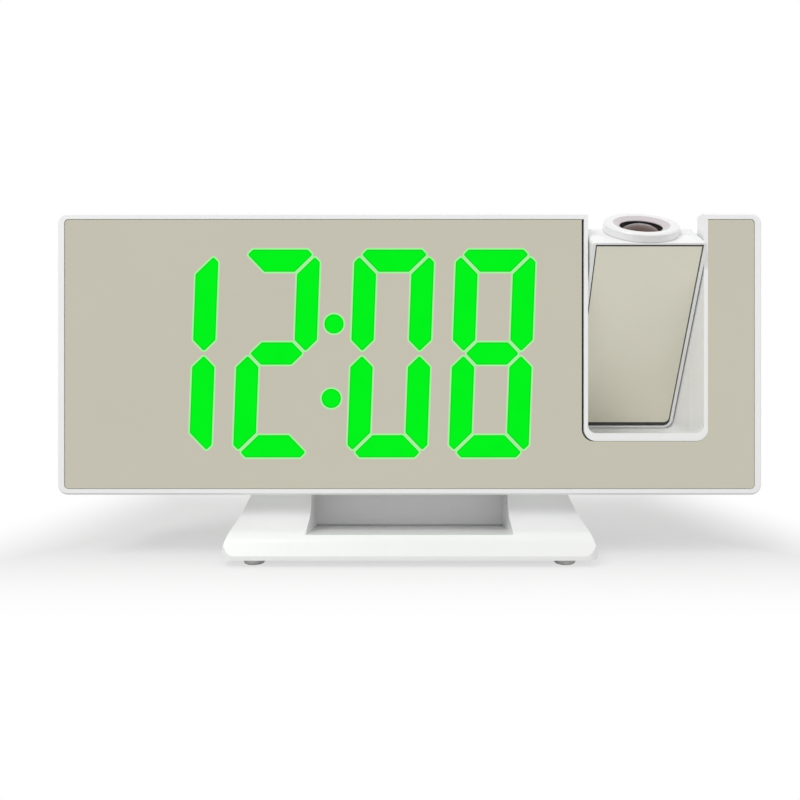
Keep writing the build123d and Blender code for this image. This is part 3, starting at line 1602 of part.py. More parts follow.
with BuildPart() as light_tube:
    with BuildSketch(lens_plane(tube_low)):
        Rectangle(tube_w, tube_d)
    extrude(amount=tube_top - tube_low)
    with BuildSketch(lens_plane(tube_low)):
        Rectangle(tube_w - 2 * tube_wall, tube_d - 2 * tube_wall)
    extrude(amount=lens_ledge - tube_low, mode=Mode.SUBTRACT)
    with BuildSketch(lens_plane(lens_ledge)):
        Rectangle(tube_w - 2 * tube_wall - 2 * tube_ledge, tube_d - 2 * tube_wall - 2 * tube_ledge)
    extrude(amount=tube_top - lens_ledge, mode=Mode.SUBTRACT)
    with BuildSketch(lens_plane(plate_seat)):
        Rectangle(tube_w - 2 * tube_wall, tube_d - 2 * tube_wall)
    extrude(amount=tube_top - plate_seat, mode=Mode.SUBTRACT)
light_tube.part.label = "light_tube"
export_step(light_tube.part, "parts/light_tube.step")

with BuildPart() as image_plate:
    with BuildSketch(lens_plane(plate_seat)):
        Rectangle(tube_w - 2 * tube_wall - fit_gap, tube_d - 2 * tube_wall - fit_gap)
    extrude(amount=image_plate_t)
image_plate.part.label = "image_plate"
export_step(image_plate.part, "parts/image_plate.step")

condenser_r = tube_d / 2 - tube_wall - fit_gap
condenser_mid_r, condenser_mid_rise = dome_middle(condenser_r, condenser_rise)
condenser_rim = lens_ledge - condenser_edge

with BuildPart() as condenser_lens:
    with BuildSketch(lens_section()):
        with BuildLine():
            Polyline(
                (0, condenser_rim - condenser_rise),
                (0, lens_ledge),
                (condenser_r, lens_ledge),
                (condenser_r, condenser_rim),
            )
            ThreePointArc(
                (condenser_r, condenser_rim),
                (condenser_mid_r, condenser_rim - condenser_mid_rise),
                (0, condenser_rim - condenser_rise),
            )
        make_face()
    revolve(axis=lens_axis)
condenser_lens.part.label = "condenser_lens"
export_step(condenser_lens.part, "parts/condenser_lens.step")

with BuildPart() as projector_led_board:
    with BuildSketch(lens_plane(tube_low)):
        Rectangle(led_board_w, tube_d)
    extrude(amount=-board_t)
projector_led_board.part.label = "projector_led_board"
export_step(projector_led_board.part, "parts/projector_led_board.step")

with BuildPart() as projector_led:
    with BuildSketch(lens_plane(tube_low)):
        Rectangle(led_size, led_size)
    extrude(amount=led_body_t)
    with BuildSketch(lens_plane(tube_low + led_body_t)):
        Circle(led_size / 2 - led_rim)
    extrude(amount=led_dome_t)
projector_led.part.label = "projector_led"
export_step(projector_led.part, "parts/projector_led.step")

# ---------------------------------------------------------------- the projector's lead

lead_meet_x = bay_left - lead_meet
socket_x = main_board_right - socket_in
socket_z = pivot_z - socket_drop
lead_y = front_y + main_back_d + socket_t / 2
led_back_v = tube_low - board_t / 2

with BuildPart() as projector_connector:
    with BuildSketch(back_plane(main_back_d + socket_t)):
        with Locations((socket_x, socket_z)):
            Rectangle(socket_w, socket_h)
    extrude(amount=socket_t)
projector_connector.part.label = "projector_connector"
export_step(projector_connector.part, "parts/projector_connector.step")

lead_points = [
    Vector(socket_x, lead_y, socket_z + socket_h / 2),
    Vector(socket_x, lead_y, socket_z + socket_h / 2 + lead_rise),
    Vector(main_board_right + lead_side, front_y + main_back_d + lead_back, pivot_z - lead_drop),
    Vector(main_board_right + lead_reach, pivot_y, pivot_z),
    Vector(lead_meet_x, pivot_y, pivot_z),
]
inner_points = [
    Vector(lead_meet_x, pivot_y, pivot_z),
    arm_point(-lead_inner_x, 0, 0),
    arm_point(-lead_low_x, lead_low_back, lead_low_up),
    arm_point(-lead_end_x, -lens_ahead, led_back_v),
    arm_point(-led_board_w / 2, -lens_ahead, led_back_v),
]


def bend_radii(points):
    """A bend radius for each inner point of a route: 0.45 of its shorter run over the half turn's tangent."""
    radii = []
    for before, here, after in zip(points, points[1:], points[2:]):
        turn = (here - before).get_angle(after - here)
        run = min((here - before).length, (after - here).length)
        radii.append(0.45 * run / tan(radians(turn / 2)))
    return radii


print("lead bends", [round(r, 1) for r in bend_radii(lead_points)])
print("inner lead bends", [round(r, 1) for r in bend_radii(inner_points)])

with BuildPart() as projector_lead:
    with BuildLine() as lead_route:
        FilletPolyline(*lead_points, radius=bend_radii(lead_points))
    with BuildSketch(Plane(origin=lead_route.line @ 0, z_dir=lead_route.line % 0)):
        Circle(lead_r)
    sweep()
projector_lead.part.label = "projector_lead"
export_step(projector_lead.part, "parts/projector_lead.step")

with BuildPart() as projector_inner_lead:
    with BuildLine() as inner_route:
        FilletPolyline(*inner_points, radius=bend_radii(inner_points))
    with BuildSketch(Plane(origin=inner_route.line @ 0, z_dir=inner_route.line % 0)):
        Circle(lead_r)
    sweep()
projector_inner_lead.part.label = "projector_inner_lead"
export_step(projector_inner_lead.part, "parts/projector_inner_lead.step")
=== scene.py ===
# %% [markdown]
# # A projection alarm clock with a mirror front
#
# The clock is a flat white box behind a half-silvered mirror, on a low stand. At its right-hand end a
# slot holds a projector arm, which tilts about a pin near its top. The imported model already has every
# solid in its right place and size, so this lesson is about finishes, light and the thin things that
# no solid can show: the glow of the digits, the ink on the keys and the marks of use.
#
# All lengths are in metres. Seen from the front, X runs to the right and Z up; the front looks along -Y.

import json
from math import radians

import bmesh
import bpy
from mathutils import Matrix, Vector


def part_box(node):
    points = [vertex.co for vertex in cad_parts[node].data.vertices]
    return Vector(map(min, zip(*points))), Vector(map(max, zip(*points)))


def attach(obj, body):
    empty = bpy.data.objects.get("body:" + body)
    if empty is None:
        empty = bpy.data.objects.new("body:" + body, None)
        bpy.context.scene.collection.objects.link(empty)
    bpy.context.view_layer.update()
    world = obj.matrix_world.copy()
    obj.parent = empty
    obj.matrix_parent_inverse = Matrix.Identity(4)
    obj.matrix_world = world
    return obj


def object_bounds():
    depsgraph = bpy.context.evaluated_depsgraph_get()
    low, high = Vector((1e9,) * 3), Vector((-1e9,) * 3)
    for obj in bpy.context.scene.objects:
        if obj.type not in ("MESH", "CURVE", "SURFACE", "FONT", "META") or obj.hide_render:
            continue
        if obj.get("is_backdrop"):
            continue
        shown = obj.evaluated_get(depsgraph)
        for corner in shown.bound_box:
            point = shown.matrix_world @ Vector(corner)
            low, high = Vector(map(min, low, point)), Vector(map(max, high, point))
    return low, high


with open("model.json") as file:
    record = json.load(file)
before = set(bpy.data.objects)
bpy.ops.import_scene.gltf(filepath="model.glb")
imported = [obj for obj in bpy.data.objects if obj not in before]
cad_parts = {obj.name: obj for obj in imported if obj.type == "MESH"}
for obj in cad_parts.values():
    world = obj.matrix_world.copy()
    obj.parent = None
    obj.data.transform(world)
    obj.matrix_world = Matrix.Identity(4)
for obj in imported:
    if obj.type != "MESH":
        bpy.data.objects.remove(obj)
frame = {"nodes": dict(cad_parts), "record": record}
cad_low, cad_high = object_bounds()
nodes = frame["nodes"]
scene = bpy.context.scene
MM = 0.001
cad_size = [round(v / MM, 1) for v in cad_high - cad_low]
print("loaded", len(nodes), "nodes; overall size in mm:", cad_size)

# %% [markdown]
# ## Camera
#
# A clock like this is shown straight from the front, from close by, so that the depth of the slot and
# of the stand's well can be seen. The lens stands half way up the clock, and a little further away
# than the clock is wide. A small lens shift frames the clock without tilting the camera, which keeps
# its uprights upright.

# %% Camera
EYE_AHEAD = 200 * MM
EYE_HEIGHT = 45.6 * MM
PICTURE_W = 800
SHIFT_PIXELS = (-9.5, -10)
# Blender takes a lens and its sensor in millimetres.
FOCAL_LENGTH = 33.75
SENSOR_W = 36

front_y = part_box("front_housing")[0].y
camera_data = bpy.data.cameras.new("front_camera")
camera_data.lens = FOCAL_LENGTH
camera_data.sensor_width = SENSOR_W
camera_data.shift_x, camera_data.shift_y = (pixels / PICTURE_W for pixels in SHIFT_PIXELS)
camera_data.clip_start = 5 * MM
camera = bpy.data.objects.new("front_camera", camera_data)
camera.location = (0, front_y - EYE_AHEAD, EYE_HEIGHT)
camera.rotation_euler = (radians(90), 0, 0)
scene.collection.objects.link(camera)
scene.camera = camera
scene.view_settings.view_transform = "Standard"
print("camera", round((front_y - camera.location.y) / MM), "mm in front of the frame")

# %% [markdown]
# ## Short words for nodes
#
# A node tree is a list of small sums, and writing each one out takes four lines. These helpers make a
# node, set or link what goes into it, and give back what comes out, so that a material below reads
# from the inside out.


# %% Node helpers
def feed(tree, socket, value):
    """Links a socket to another one, or sets it where the value is plain."""
    if isinstance(value, bpy.types.NodeSocket):
        tree.links.new(value, socket)
    else:
        socket.default_value = value


def maths(tree, operation, *values):
    """The result of a Math node."""
    node = tree.nodes.new("ShaderNodeMath")
    node.operation = operation
    for socket, value in zip(node.inputs, values):
        feed(tree, socket, value)
    return node.outputs[0]


def seen_by(tree, *kinds):
    """1 for rays of any of these kinds, and 0 for all others."""
    path = tree.nodes.new("ShaderNodeLightPath")
    result = path.outputs[kinds[0]]
    for kind in kinds[1:]:
        result = maths(tree, "MAXIMUM", result, path.outputs[kind])
    return result


def mix_shaders(tree, share, first, second):
    """Two shaders mixed; a share of 0 gives the first."""
    node = tree.nodes.new("ShaderNodeMixShader")
    for socket, value in zip(node.inputs, (share, first, second)):
        tree.links.new(value, socket)
    return node.outputs[0]


print("helpers:", [helper.__name__ for helper in (feed, maths, seen_by, mix_shaders)])

# %% [markdown]
# ## Light
#
# White glossy plastic and a mirror need a studio with soft white walls. The world is that studio: an
# even white for the camera and for reflections, and less for its light, so that lamps can add a
# direction.

# %% Studio walls
WHITE = (1.0, 1.0, 1.0, 1)
WALL_LIGHT = 0.72

world = bpy.data.worlds.new("studio")
scene.world = world
world.use_nodes = True
tree = world.node_tree
tree.nodes.clear()


def wall(strength):
    """A white background of this strength."""
    node = tree.nodes.new("ShaderNodeBackground")
    node.inputs["Color"].default_value = WHITE
    node.inputs["Strength"].default_value = strength
    return node.outputs[0]


in_sight = seen_by(tree, "Is Camera Ray", "Is Glossy Ray", "Is Transmission Ray")
walls = mix_shaders(tree, in_sight, wall(WALL_LIGHT), wall(1.0))
tree.links.new(walls, tree.nodes.new("ShaderNodeOutputWorld").inputs[0])
print("studio walls light the clock at", WALL_LIGHT)

# %% [markdown]
# The key lamp hangs high in front at the left. It reaches into the slot and leaves the top of the
# stand's legs in the case's shade. A weak lamp at the right lifts that end. Both stand where no mirror
# on the clock shows them.

# %% Lamps
AIM = Vector((20 * MM, 0, 50 * MM))


def softbox(name, place, side, watts):
    """A square lamp that looks at the clock."""
    data = bpy.data.lights.new(name, "AREA")
    data.shape = "RECTANGLE"
    data.size = data.size_y = side
    data.energy = watts
    lamp = bpy.data.objects.new(name, data)
    lamp.location = place
    lamp.rotation_euler = (AIM - Vector(place)).to_track_quat("-Z", "Y").to_euler()
    scene.collection.objects.link(lamp)
    return lamp


lamps = [
    softbox("key_lamp", place=(-0.42, -0.54, 0.70), side=0.4, watts=3.4),
    softbox("fill_lamp", place=(0.60, -0.25, 0.30), side=0.3, watts=0.55),
]
print("lamps:", {lamp.name: round(lamp.data.energy, 2) for lamp in lamps})

# %% [markdown]
# ## Floor
#
# The clock stands on a plain pale sheet. It is one flat square, much larger than the clock, and it
# belongs to the stage and not to the clock.

# %% Sheet
SHEET_HALF = 2.5

bm = bmesh.new()
bmesh.ops.create_grid(bm, x_segments=1, y_segments=1, size=SHEET_HALF)
sheet_mesh = bpy.data.meshes.new("white_sheet")
bm.to_mesh(sheet_mesh)
bm.free()
sheet = bpy.data.objects.new("white_sheet", sheet_mesh)
scene.collection.objects.link(sheet)
sheet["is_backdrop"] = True
print("floor sheet", 2 * SHEET_HALF, "m square")

# %% [markdown]
# Under the clock and just behind it the sheet is mostly a real diffuse surface, so the soft shadows of
# the case and the stand fall on it. That grey patch is partly painted shadow: its grey paper shows
# darker than the white around it even where no shadow falls, and its soft edges are set round the
# clock. Further out it fades into the studio's plain white, so that no horizon shows. The fade works
# for camera and mirror rays alone. For all other light the sheet is a pale grey, which throws less
# light up under the case than white paper would, so the stand keeps the shade of the case above it.
#
# A Map Range node makes such a fade: it turns a place into a share. Its soft kind starts and ends
# gently, so that the eye finds no edge in the paper.


# %% Soft ramp
def ramp(tree, value, start, end, low=0.0, high=1.0, soft=True):
    """A value's span from start to end, mapped onto low to high with soft ends or straight."""
    node = tree.nodes.new("ShaderNodeMapRange")
    node.interpolation_type = "SMOOTHSTEP" if soft else "LINEAR"
    labels = ("Value", "From Min", "From Max", "To Min", "To Max")
    for label, given in zip(labels, (value, start, end, low, high)):
        feed(tree, node.inputs[label], given)
    return node.outputs[0]


print("helper:", ramp.__name__)

# %% Paper
PAPER = (0.6, 0.6, 0.595, 1)
NEAR_WHITE = 0.38  # the share of plain white right under the clock
# Where the fade starts and ends, from the middle of the clock; these bounds give the painted shadow patch
# its edges.
FADE_ASIDE = (85 * MM, 140 * MM)
FADE_AHEAD = (30 * MM, -70 * MM)
FADE_BEHIND = (80 * MM, 180 * MM)

paper = bpy.data.materials.new("sheet_paper")
paper.use_nodes = True
tree = paper.node_tree
tree.nodes.clear()
where = tree.nodes.new("ShaderNodeTexCoord").outputs["Object"]
parts = tree.nodes.new("ShaderNodeSeparateXYZ")
tree.links.new(where, parts.inputs[0])
aside = maths(tree, "ABSOLUTE", parts.outputs["X"])
sideways = ramp(tree, aside, *FADE_ASIDE)
forwards = ramp(tree, parts.outputs["Y"], *FADE_AHEAD)
backwards = ramp(tree, parts.outputs["Y"], *FADE_BEHIND)
away = maths(tree, "MAXIMUM", maths(tree, "MAXIMUM", sideways, forwards), backwards)
fade = ramp(tree, away, 0.0, 1.0, low=NEAR_WHITE, soft=False)
share = maths(tree, "MULTIPLY", seen_by(tree, "Is Camera Ray", "Is Glossy Ray"), fade)
matt = tree.nodes.new("ShaderNodeBsdfDiffuse")
matt.inputs["Color"].default_value = PAPER
plain = tree.nodes.new("ShaderNodeEmission")
plain.inputs["Color"].default_value = WHITE
surface = mix_shaders(tree, share, matt.outputs[0], plain.outputs[0])
tree.links.new(surface, tree.nodes.new("ShaderNodeOutputMaterial").inputs[0])
sheet_mesh.materials.append(paper)
print("paper with", len(tree.nodes), "nodes")

# %% [markdown]
# ## Surface detail as node groups
#
# Real mouldings are never one even colour. Three effects come back in nearly every finish here, so
# each is a node group, built once, with named sockets. A group could also be drawn by hand in the
# shader editor; made here, its defaults stay beside its name.


# %% Node group helpers
VECTOR, FLOAT, COLOR = "NodeSocketVector", "NodeSocketFloat", "NodeSocketColor"


def new_group(name, inputs, outputs):
    """An empty shader node group with named sockets: {name: (socket type, default)}."""
    group = bpy.data.node_groups.new(name, "ShaderNodeTree")
    for label, (kind, default) in inputs.items():
        socket = group.interface.new_socket(name=label, in_out="INPUT", socket_type=kind)
        if default is not None:
            socket.default_value = default
    for label, kind in outputs.items():
        group.interface.new_socket(name=label, in_out="OUTPUT", socket_type=kind)
    enter = group.nodes.new("NodeGroupInput").outputs
    leave = group.nodes.new("NodeGroupOutput").inputs
    return group, enter, leave


def noise(tree, vector, scale, detail, roughness):
    """A noise pattern on a vector."""
    node = tree.nodes.new("ShaderNodeTexNoise")
    values = {"Vector": vector, "Scale": scale, "Detail": detail, "Roughness": roughness}
    for label, value in values.items():
        feed(tree, node.inputs[label], value)
    return node.outputs["Fac"]


def blend(tree, share, first, second):
    """Two colours blended; a share of 0 gives the first."""
    node = tree.nodes.new("ShaderNodeMix")
    node.data_type = "RGBA"
    feed(tree, node.inputs["Factor"], share)
    feed(tree, node.inputs[6], first)
    feed(tree, node.inputs[7], second)
    return node.outputs[2]


print("helpers:", [helper.__name__ for helper in (new_group, noise, blend)])

# %% [markdown]
# *Surface grain* is the fine texture of a tool, a sheet or a casting. A fine noise gives the bump, and
# the same noise with a broad one gives a change of gloss, so both lie in the same places.

# %% Surface grain
grain, enter, leave = new_group(
    "surface_grain",
    {
        "Vector": (VECTOR, None),
        "Scale": (FLOAT, 3000.0),
        "Depth": (FLOAT, 0.2),
        "Height": (FLOAT, 0.02 * MM),
        "Gloss Low": (FLOAT, 0.3),
        "Gloss High": (FLOAT, 0.4),
    },
    {"Roughness": FLOAT, "Normal": VECTOR},
)
fine = noise(grain, enter["Vector"], enter["Scale"], detail=3.0, roughness=0.6)
broad = noise(grain, enter["Vector"], scale=90.0, detail=3.0, roughness=0.55)
both = maths(grain, "ADD", fine, broad)
low, high = enter["Gloss Low"], enter["Gloss High"]
gloss = ramp(grain, both, start=0.7, end=1.3, low=low, high=high, soft=False)
bump = grain.nodes.new("ShaderNodeBump")
for label, source in (("Strength", enter["Depth"]), ("Distance", enter["Height"]), ("Height", fine)):
    grain.links.new(source, bump.inputs[label])
grain.links.new(gloss, leave["Roughness"])
grain.links.new(bump.outputs[0], leave["Normal"])
print("group", grain.name, "with", len(grain.nodes), "nodes")

# %% [markdown]
# *Soft mottle* is the slow, weak change of tone that any large moulding has. It blends the colour
# towards a second one, its shade, where a cloudy noise is strong.

# %% Soft mottle
mottle, enter, leave = new_group(
    "soft_mottle",
    {
        "Vector": (VECTOR, None),
        "Colour": (COLOR, (0.8, 0.8, 0.8, 1)),
        "Shade": (COLOR, (0.75, 0.75, 0.75, 1)),
        "Scale": (FLOAT, 40.0),
        "Amount": (FLOAT, 0.5),
    },
    {"Colour": COLOR},
)
cloud = noise(mottle, enter["Vector"], enter["Scale"], detail=4.0, roughness=0.6)
strong = ramp(mottle, cloud, start=0.35, end=0.7)
amount = maths(mottle, "MULTIPLY", strong, enter["Amount"])
mottle.links.new(blend(mottle, amount, enter["Colour"], enter["Shade"]), leave["Colour"])
print("group", mottle.name, "with", len(mottle.nodes), "nodes")

# %% [markdown]
# *Handled marks* are finger smears and fine scratches, which change the gloss and not the colour. The
# scratches are noise drawn out along one slanted direction, of which only the peaks are kept.

# %% Handled marks
marks, enter, leave = new_group(
    "handled_marks",
    {"Vector": (VECTOR, None), "Roughness": (FLOAT, 0.3), "Amount": (FLOAT, 0.1)},
    {"Roughness": FLOAT},
)
smear = noise(marks, enter["Vector"], scale=55.0, detail=5.0, roughness=0.7)
smudge = ramp(marks, smear, start=0.5, end=0.75)
stretch = marks.nodes.new("ShaderNodeMapping")
stretch.inputs["Scale"].default_value = (900, 900, 60)
stretch.inputs["Rotation"].default_value = (0.3, 0.5, 0.2)
marks.links.new(enter["Vector"], stretch.inputs["Vector"])
line = noise(marks, stretch.outputs[0], scale=1.0, detail=2.0, roughness=0.5)
hair = ramp(marks, line, start=0.68, end=0.74, soft=False)
total = maths(marks, "ADD", hair, smudge)
scaled = maths(marks, "MULTIPLY_ADD", total, enter["Amount"], enter["Roughness"])
marks.links.new(scaled, leave["Roughness"])
print("group", marks.name, "with", len(marks.nodes), "nodes")

# %% [markdown]
# ## Finishes
#
# One builder puts the three groups in front of a Principled shader. What differs from finish to
# finish is given as plain numbers: colour, the shade it drifts towards, grain size, and how glossy it
# is. Whatever is the same all over a piece, such as its sheen, coat or metal, is set on the shader.


# %% Material helpers
def new_material(name):
    """A Principled material, with its tree, its shader and the piece's own coordinates."""
    material = bpy.data.materials.new(name)
    material.use_nodes = True
    tree = material.node_tree
    where = tree.nodes.new("ShaderNodeTexCoord").outputs["Object"]
    return material, tree, tree.nodes["Principled BSDF"], where


def place_group(tree, group, where, **values):
    """A node group in a material, on the piece's own coordinates and with its own values."""
    node = tree.nodes.new("ShaderNodeGroup")
    node.node_tree = group
    tree.links.new(where, node.inputs["Vector"])
    for label, value in values.items():
        feed(tree, node.inputs[label.replace("_", " ")], value)
    return node.outputs


def dress(material, *names):
    """Gives CAD nodes a finish."""
    for name in names:
        slots = nodes[name].data.materials
        slots.clear()
        slots.append(material)


print("helpers:", [helper.__name__ for helper in (new_material, place_group, dress)])


# %% Finish builder
def finish_material(
    name, colour, shade, grain_scale, grain_depth, gloss, mottle_scale, mottle_amount, marked, **constants
):
    """A Principled material whose colour, gloss and bump come from the three groups."""
    material, tree, shader, where = new_material(name)
    tone = place_group(
        tree, mottle, where,
        Colour=(*colour, 1), Shade=(*shade, 1), Scale=mottle_scale, Amount=mottle_amount,
    )
    skin = place_group(
        tree, grain, where,
        Scale=grain_scale, Depth=grain_depth, Gloss_Low=gloss[0], Gloss_High=gloss[1],
    )
    worn = place_group(tree, marks, where, Roughness=skin["Roughness"], Amount=marked)
    tree.links.new(tone["Colour"], shader.inputs["Base Color"])
    tree.links.new(worn["Roughness"], shader.inputs["Roughness"])
    tree.links.new(skin["Normal"], shader.inputs["Normal"])
    for label, value in constants.items():
        shader.inputs[label.replace("_", " ")].default_value = value
    return material


print("builder ready for", len(nodes), "nodes")

# %% [markdown]
# ### Printed ink and a painted shade
#
# Two pieces change tone at a place that their own shape gives: the focus ring's mouth has painted
# shade, a warmer grey for the shade and the lens's reflection inside it, and the rear keys have white
# ink on top of their raised marks. A paint mask could do this, but a mask worked out from the piece's
# own coordinates stays sharp and needs no picture. The bore's mask measures how far a point is from an
# axis.


# %% A mask for a round bore
def vector_maths(tree, operation, *vectors):
    """The outputs of a Vector Math node."""
    node = tree.nodes.new("ShaderNodeVectorMath")
    node.operation = operation
    for socket, value in zip(node.inputs, vectors):
        tree.links.new(value, socket)
    return node.outputs


bore_mask, enter, leave = new_group(
    "bore_mask",
    {
        "Vector": (VECTOR, None),
        "Centre": (VECTOR, (0, 0, 0)),
        "Axis": (VECTOR, (0, 0, 1)),
        "Radius": (FLOAT, 7.5 * MM),
        "Softness": (FLOAT, 0.3 * MM),
    },
    {"Inside": FLOAT},
)
from_centre = vector_maths(bore_mask, "SUBTRACT", enter["Vector"], enter["Centre"])[0]
across = vector_maths(bore_mask, "CROSS_PRODUCT", from_centre, enter["Axis"])[0]
distance = vector_maths(bore_mask, "LENGTH", across)["Value"]
outer = maths(bore_mask, "ADD", enter["Radius"], enter["Softness"])
inside = ramp(bore_mask, distance, enter["Radius"], outer, low=1.0, high=0.0, soft=False)
bore_mask.links.new(inside, leave["Inside"])
print("group", bore_mask.name, "with", len(bore_mask.nodes), "nodes")

# %% [markdown]
# The keys' mask says how far a point stands out towards the back. A small helper lays either mask
# over a finish that is already made: it takes the finish's colour and blends it towards a tint, which
# is the keys' printed ink and the ring mouth's painted shade.

# %% A mask for what stands out
depth_mask, enter, leave = new_group(
    "depth_mask",
    {"Vector": (VECTOR, None), "Level": (FLOAT, 0.0), "Softness": (FLOAT, 0.1 * MM)},
    {"Past": FLOAT},
)
parts = depth_mask.nodes.new("ShaderNodeSeparateXYZ")
depth_mask.links.new(enter["Vector"], parts.inputs[0])
end = maths(depth_mask, "ADD", enter["Level"], enter["Softness"])
past = ramp(depth_mask, parts.outputs["Y"], enter["Level"], end, soft=False)
depth_mask.links.new(past, leave["Past"])


def add_mask(material, group, tint, **values):
    """Blends a finish's colour towards a tint where a mask group says so: the keys' printed ink, and the
    ring mouth's painted shade.
    """
    tree = material.node_tree
    base = tree.nodes["Principled BSDF"].inputs["Base Color"]
    colour = base.links[0].from_socket
    where = tree.nodes.new("ShaderNodeTexCoord").outputs["Object"]
    mask = place_group(tree, group, where, **values)
    tree.links.new(blend(tree, mask[0], colour, (*tint, 1)), base)


print("group", depth_mask.name, "with", len(depth_mask.nodes), "nodes")

# %% [markdown]
# ### White plastic
#
# The case, the stand and the arm are white ABS with a fine satin skin. It's bright but not pure
# white, and a little cooler in its drift. A weak coat gives the clean highlights along the edges.

# %% White plastic
white_plastic = finish_material(
    "white_abs", colour=(0.88, 0.882, 0.88), shade=(0.83, 0.834, 0.84),
    grain_scale=4200.0, grain_depth=0.12, gloss=(0.26, 0.36),
    mottle_scale=30.0, mottle_amount=0.35, marked=0.05,
    IOR=1.5, Coat_Weight=0.1, Coat_Roughness=0.15,
)
dress(
    white_plastic, "front_housing", "rear_cover", "stand_shell", "stand_base_plate",
    "projector_front_shell", "projector_rear_shell", "battery_door",
)
print("white plastic on", sum(o.data.materials[0] == white_plastic for o in nodes.values()), "nodes")

# %% [markdown]
# The focus ring is a separate moulding in a slightly darker white. Its mouth gets a painted shade: a
# warmer grey that stands in for the shade of the recess and the light bounced between the mouth and
# the lens, which the bore's mask puts where it belongs.

# %% Focus ring
MOUTH_R = 7.45 * MM
# Painted shade: a warmer grey standing in for the shade and the lens's reflection inside the ring's
# mouth.
MOUTH_PAINTED_SHADE = (0.60, 0.55, 0.565)

ring_plastic = finish_material(
    "ring_abs", colour=(0.82, 0.822, 0.82), shade=(0.78, 0.784, 0.79),
    grain_scale=4200.0, grain_depth=0.1, gloss=(0.22, 0.3),
    mottle_scale=60.0, mottle_amount=0.3, marked=0.06, IOR=1.5,
)
joints = {joint["name"]: joint for joint in frame["record"]["behaviour"]["joints"]}
ring_joint = joints["focus_ring_turn"]
add_mask(
    ring_plastic, bore_mask, MOUTH_PAINTED_SHADE,
    Centre=ring_joint["pos_m"], Axis=ring_joint["axis"], Radius=MOUTH_R, Softness=0.25 * MM,
)
dress(ring_plastic, "focus_ring")
print("the ring's mouth is tinted within", round(MOUTH_R / MM, 2), "mm of its axis")

# %% [markdown]
# The keys are a mid grey, so that a hand finds them on the white case. Their raised marks are printed
# white from half the marks' height up.

# %% Keys
REAR_KEYS = ("mode_key", "alarm_key", "minus_key", "plus_key", "projector_key")
MARK_T = 0.2 * MM
INK = (0.82, 0.83, 0.83)

key_plastic = finish_material(
    "key_abs", colour=(0.40, 0.41, 0.425), shade=(0.36, 0.37, 0.385),
    grain_scale=3600.0, grain_depth=0.2, gloss=(0.36, 0.46),
    mottle_scale=80.0, mottle_amount=0.4, marked=0.08, IOR=1.5,
)
ink_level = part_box("plus_key")[1].y - 0.5 * MARK_T
add_mask(key_plastic, depth_mask, INK, Level=ink_level, Softness=0.25 * MARK_T)
dress(key_plastic, "snooze_bar", *REAR_KEYS)
print("ink starts", round(ink_level / MM, 2), "mm behind the clock's middle, on", len(REAR_KEYS), "keys")

# %% [markdown]
# ### Half-silvered mirrors
#
# The front is acrylic with a thin metal film behind it. It reflects the room in a warm grey, because
# the film lets some light through to the dark display behind. A metallic shader with that warm grey
# does this, and broad smudges and hairlines change its gloss slightly, as on any handled mirror. The
# arm's mirror has a duller film with less metal in its look, and its colour is painted lighter than the
# front's, as painted light that makes up for the shade inside the slot.

# %% Mirrors
mirror_finish = finish_material(
    "half_silvered_acrylic", colour=(0.558, 0.535, 0.445), shade=(0.545, 0.524, 0.437),
    grain_scale=1200.0, grain_depth=0.02, gloss=(0.05, 0.09),
    mottle_scale=22.0, mottle_amount=0.5, marked=0.03, Metallic=1.0,
)
dress(mirror_finish, "mirror_panel")
# Painted light: this colour is lighter than the front film's to make up for the shade inside the slot.
arm_mirror_painted_lighter = finish_material(
    "arm_film_painted_lighter", colour=(0.76, 0.735, 0.62), shade=(0.74, 0.715, 0.603),
    grain_scale=2600.0, grain_depth=0.03, gloss=(0.4, 0.48),
    mottle_scale=30.0, mottle_amount=0.5, marked=0.03, Metallic=0.3,
)
dress(arm_mirror_painted_lighter, "projector_mirror")
print("made:", [m.name for m in (mirror_finish, arm_mirror_painted_lighter)])

# %% [markdown]
# Both mirrors are stuck down with foam tape. Foam is dull and open, so its grain is deep and its gloss
# nearly nothing. The front's tape is black, and the arm's is a shade lighter.


# %% Foam tapes
def grey(level):
    """A neutral colour at this linear level."""
    return (level, level, level)


tape = finish_material(
    "black_foam_tape", colour=grey(0.012), shade=grey(0.02),
    grain_scale=2500.0, grain_depth=0.6, gloss=(0.75, 0.9),
    mottle_scale=300.0, mottle_amount=0.6, marked=0.0,
)
dress(tape, "mirror_tape")
gasket = finish_material(
    "dark_foam_gasket", colour=grey(0.05), shade=grey(0.07),
    grain_scale=2500.0, grain_depth=0.5, gloss=(0.75, 0.9),
    mottle_scale=300.0, mottle_amount=0.6, marked=0.0,
)
dress(gasket, "projector_mirror_tape")
print("made:", [m.name for m in (tape, gasket)])

# %% [markdown]
# ### Small plastics and rubber
#
# Sockets, switches and the lens barrel are black ABS. Pale pieces, such as the pivot's bushes and the
# display's reflector, are acetal, which lets a little light in. Most of these are seen only through an
# opening, and each still has the finish of the real thing, because the openings are deep and the
# pieces turn. The feet are a pale rubber, and the leads have a black jacket.

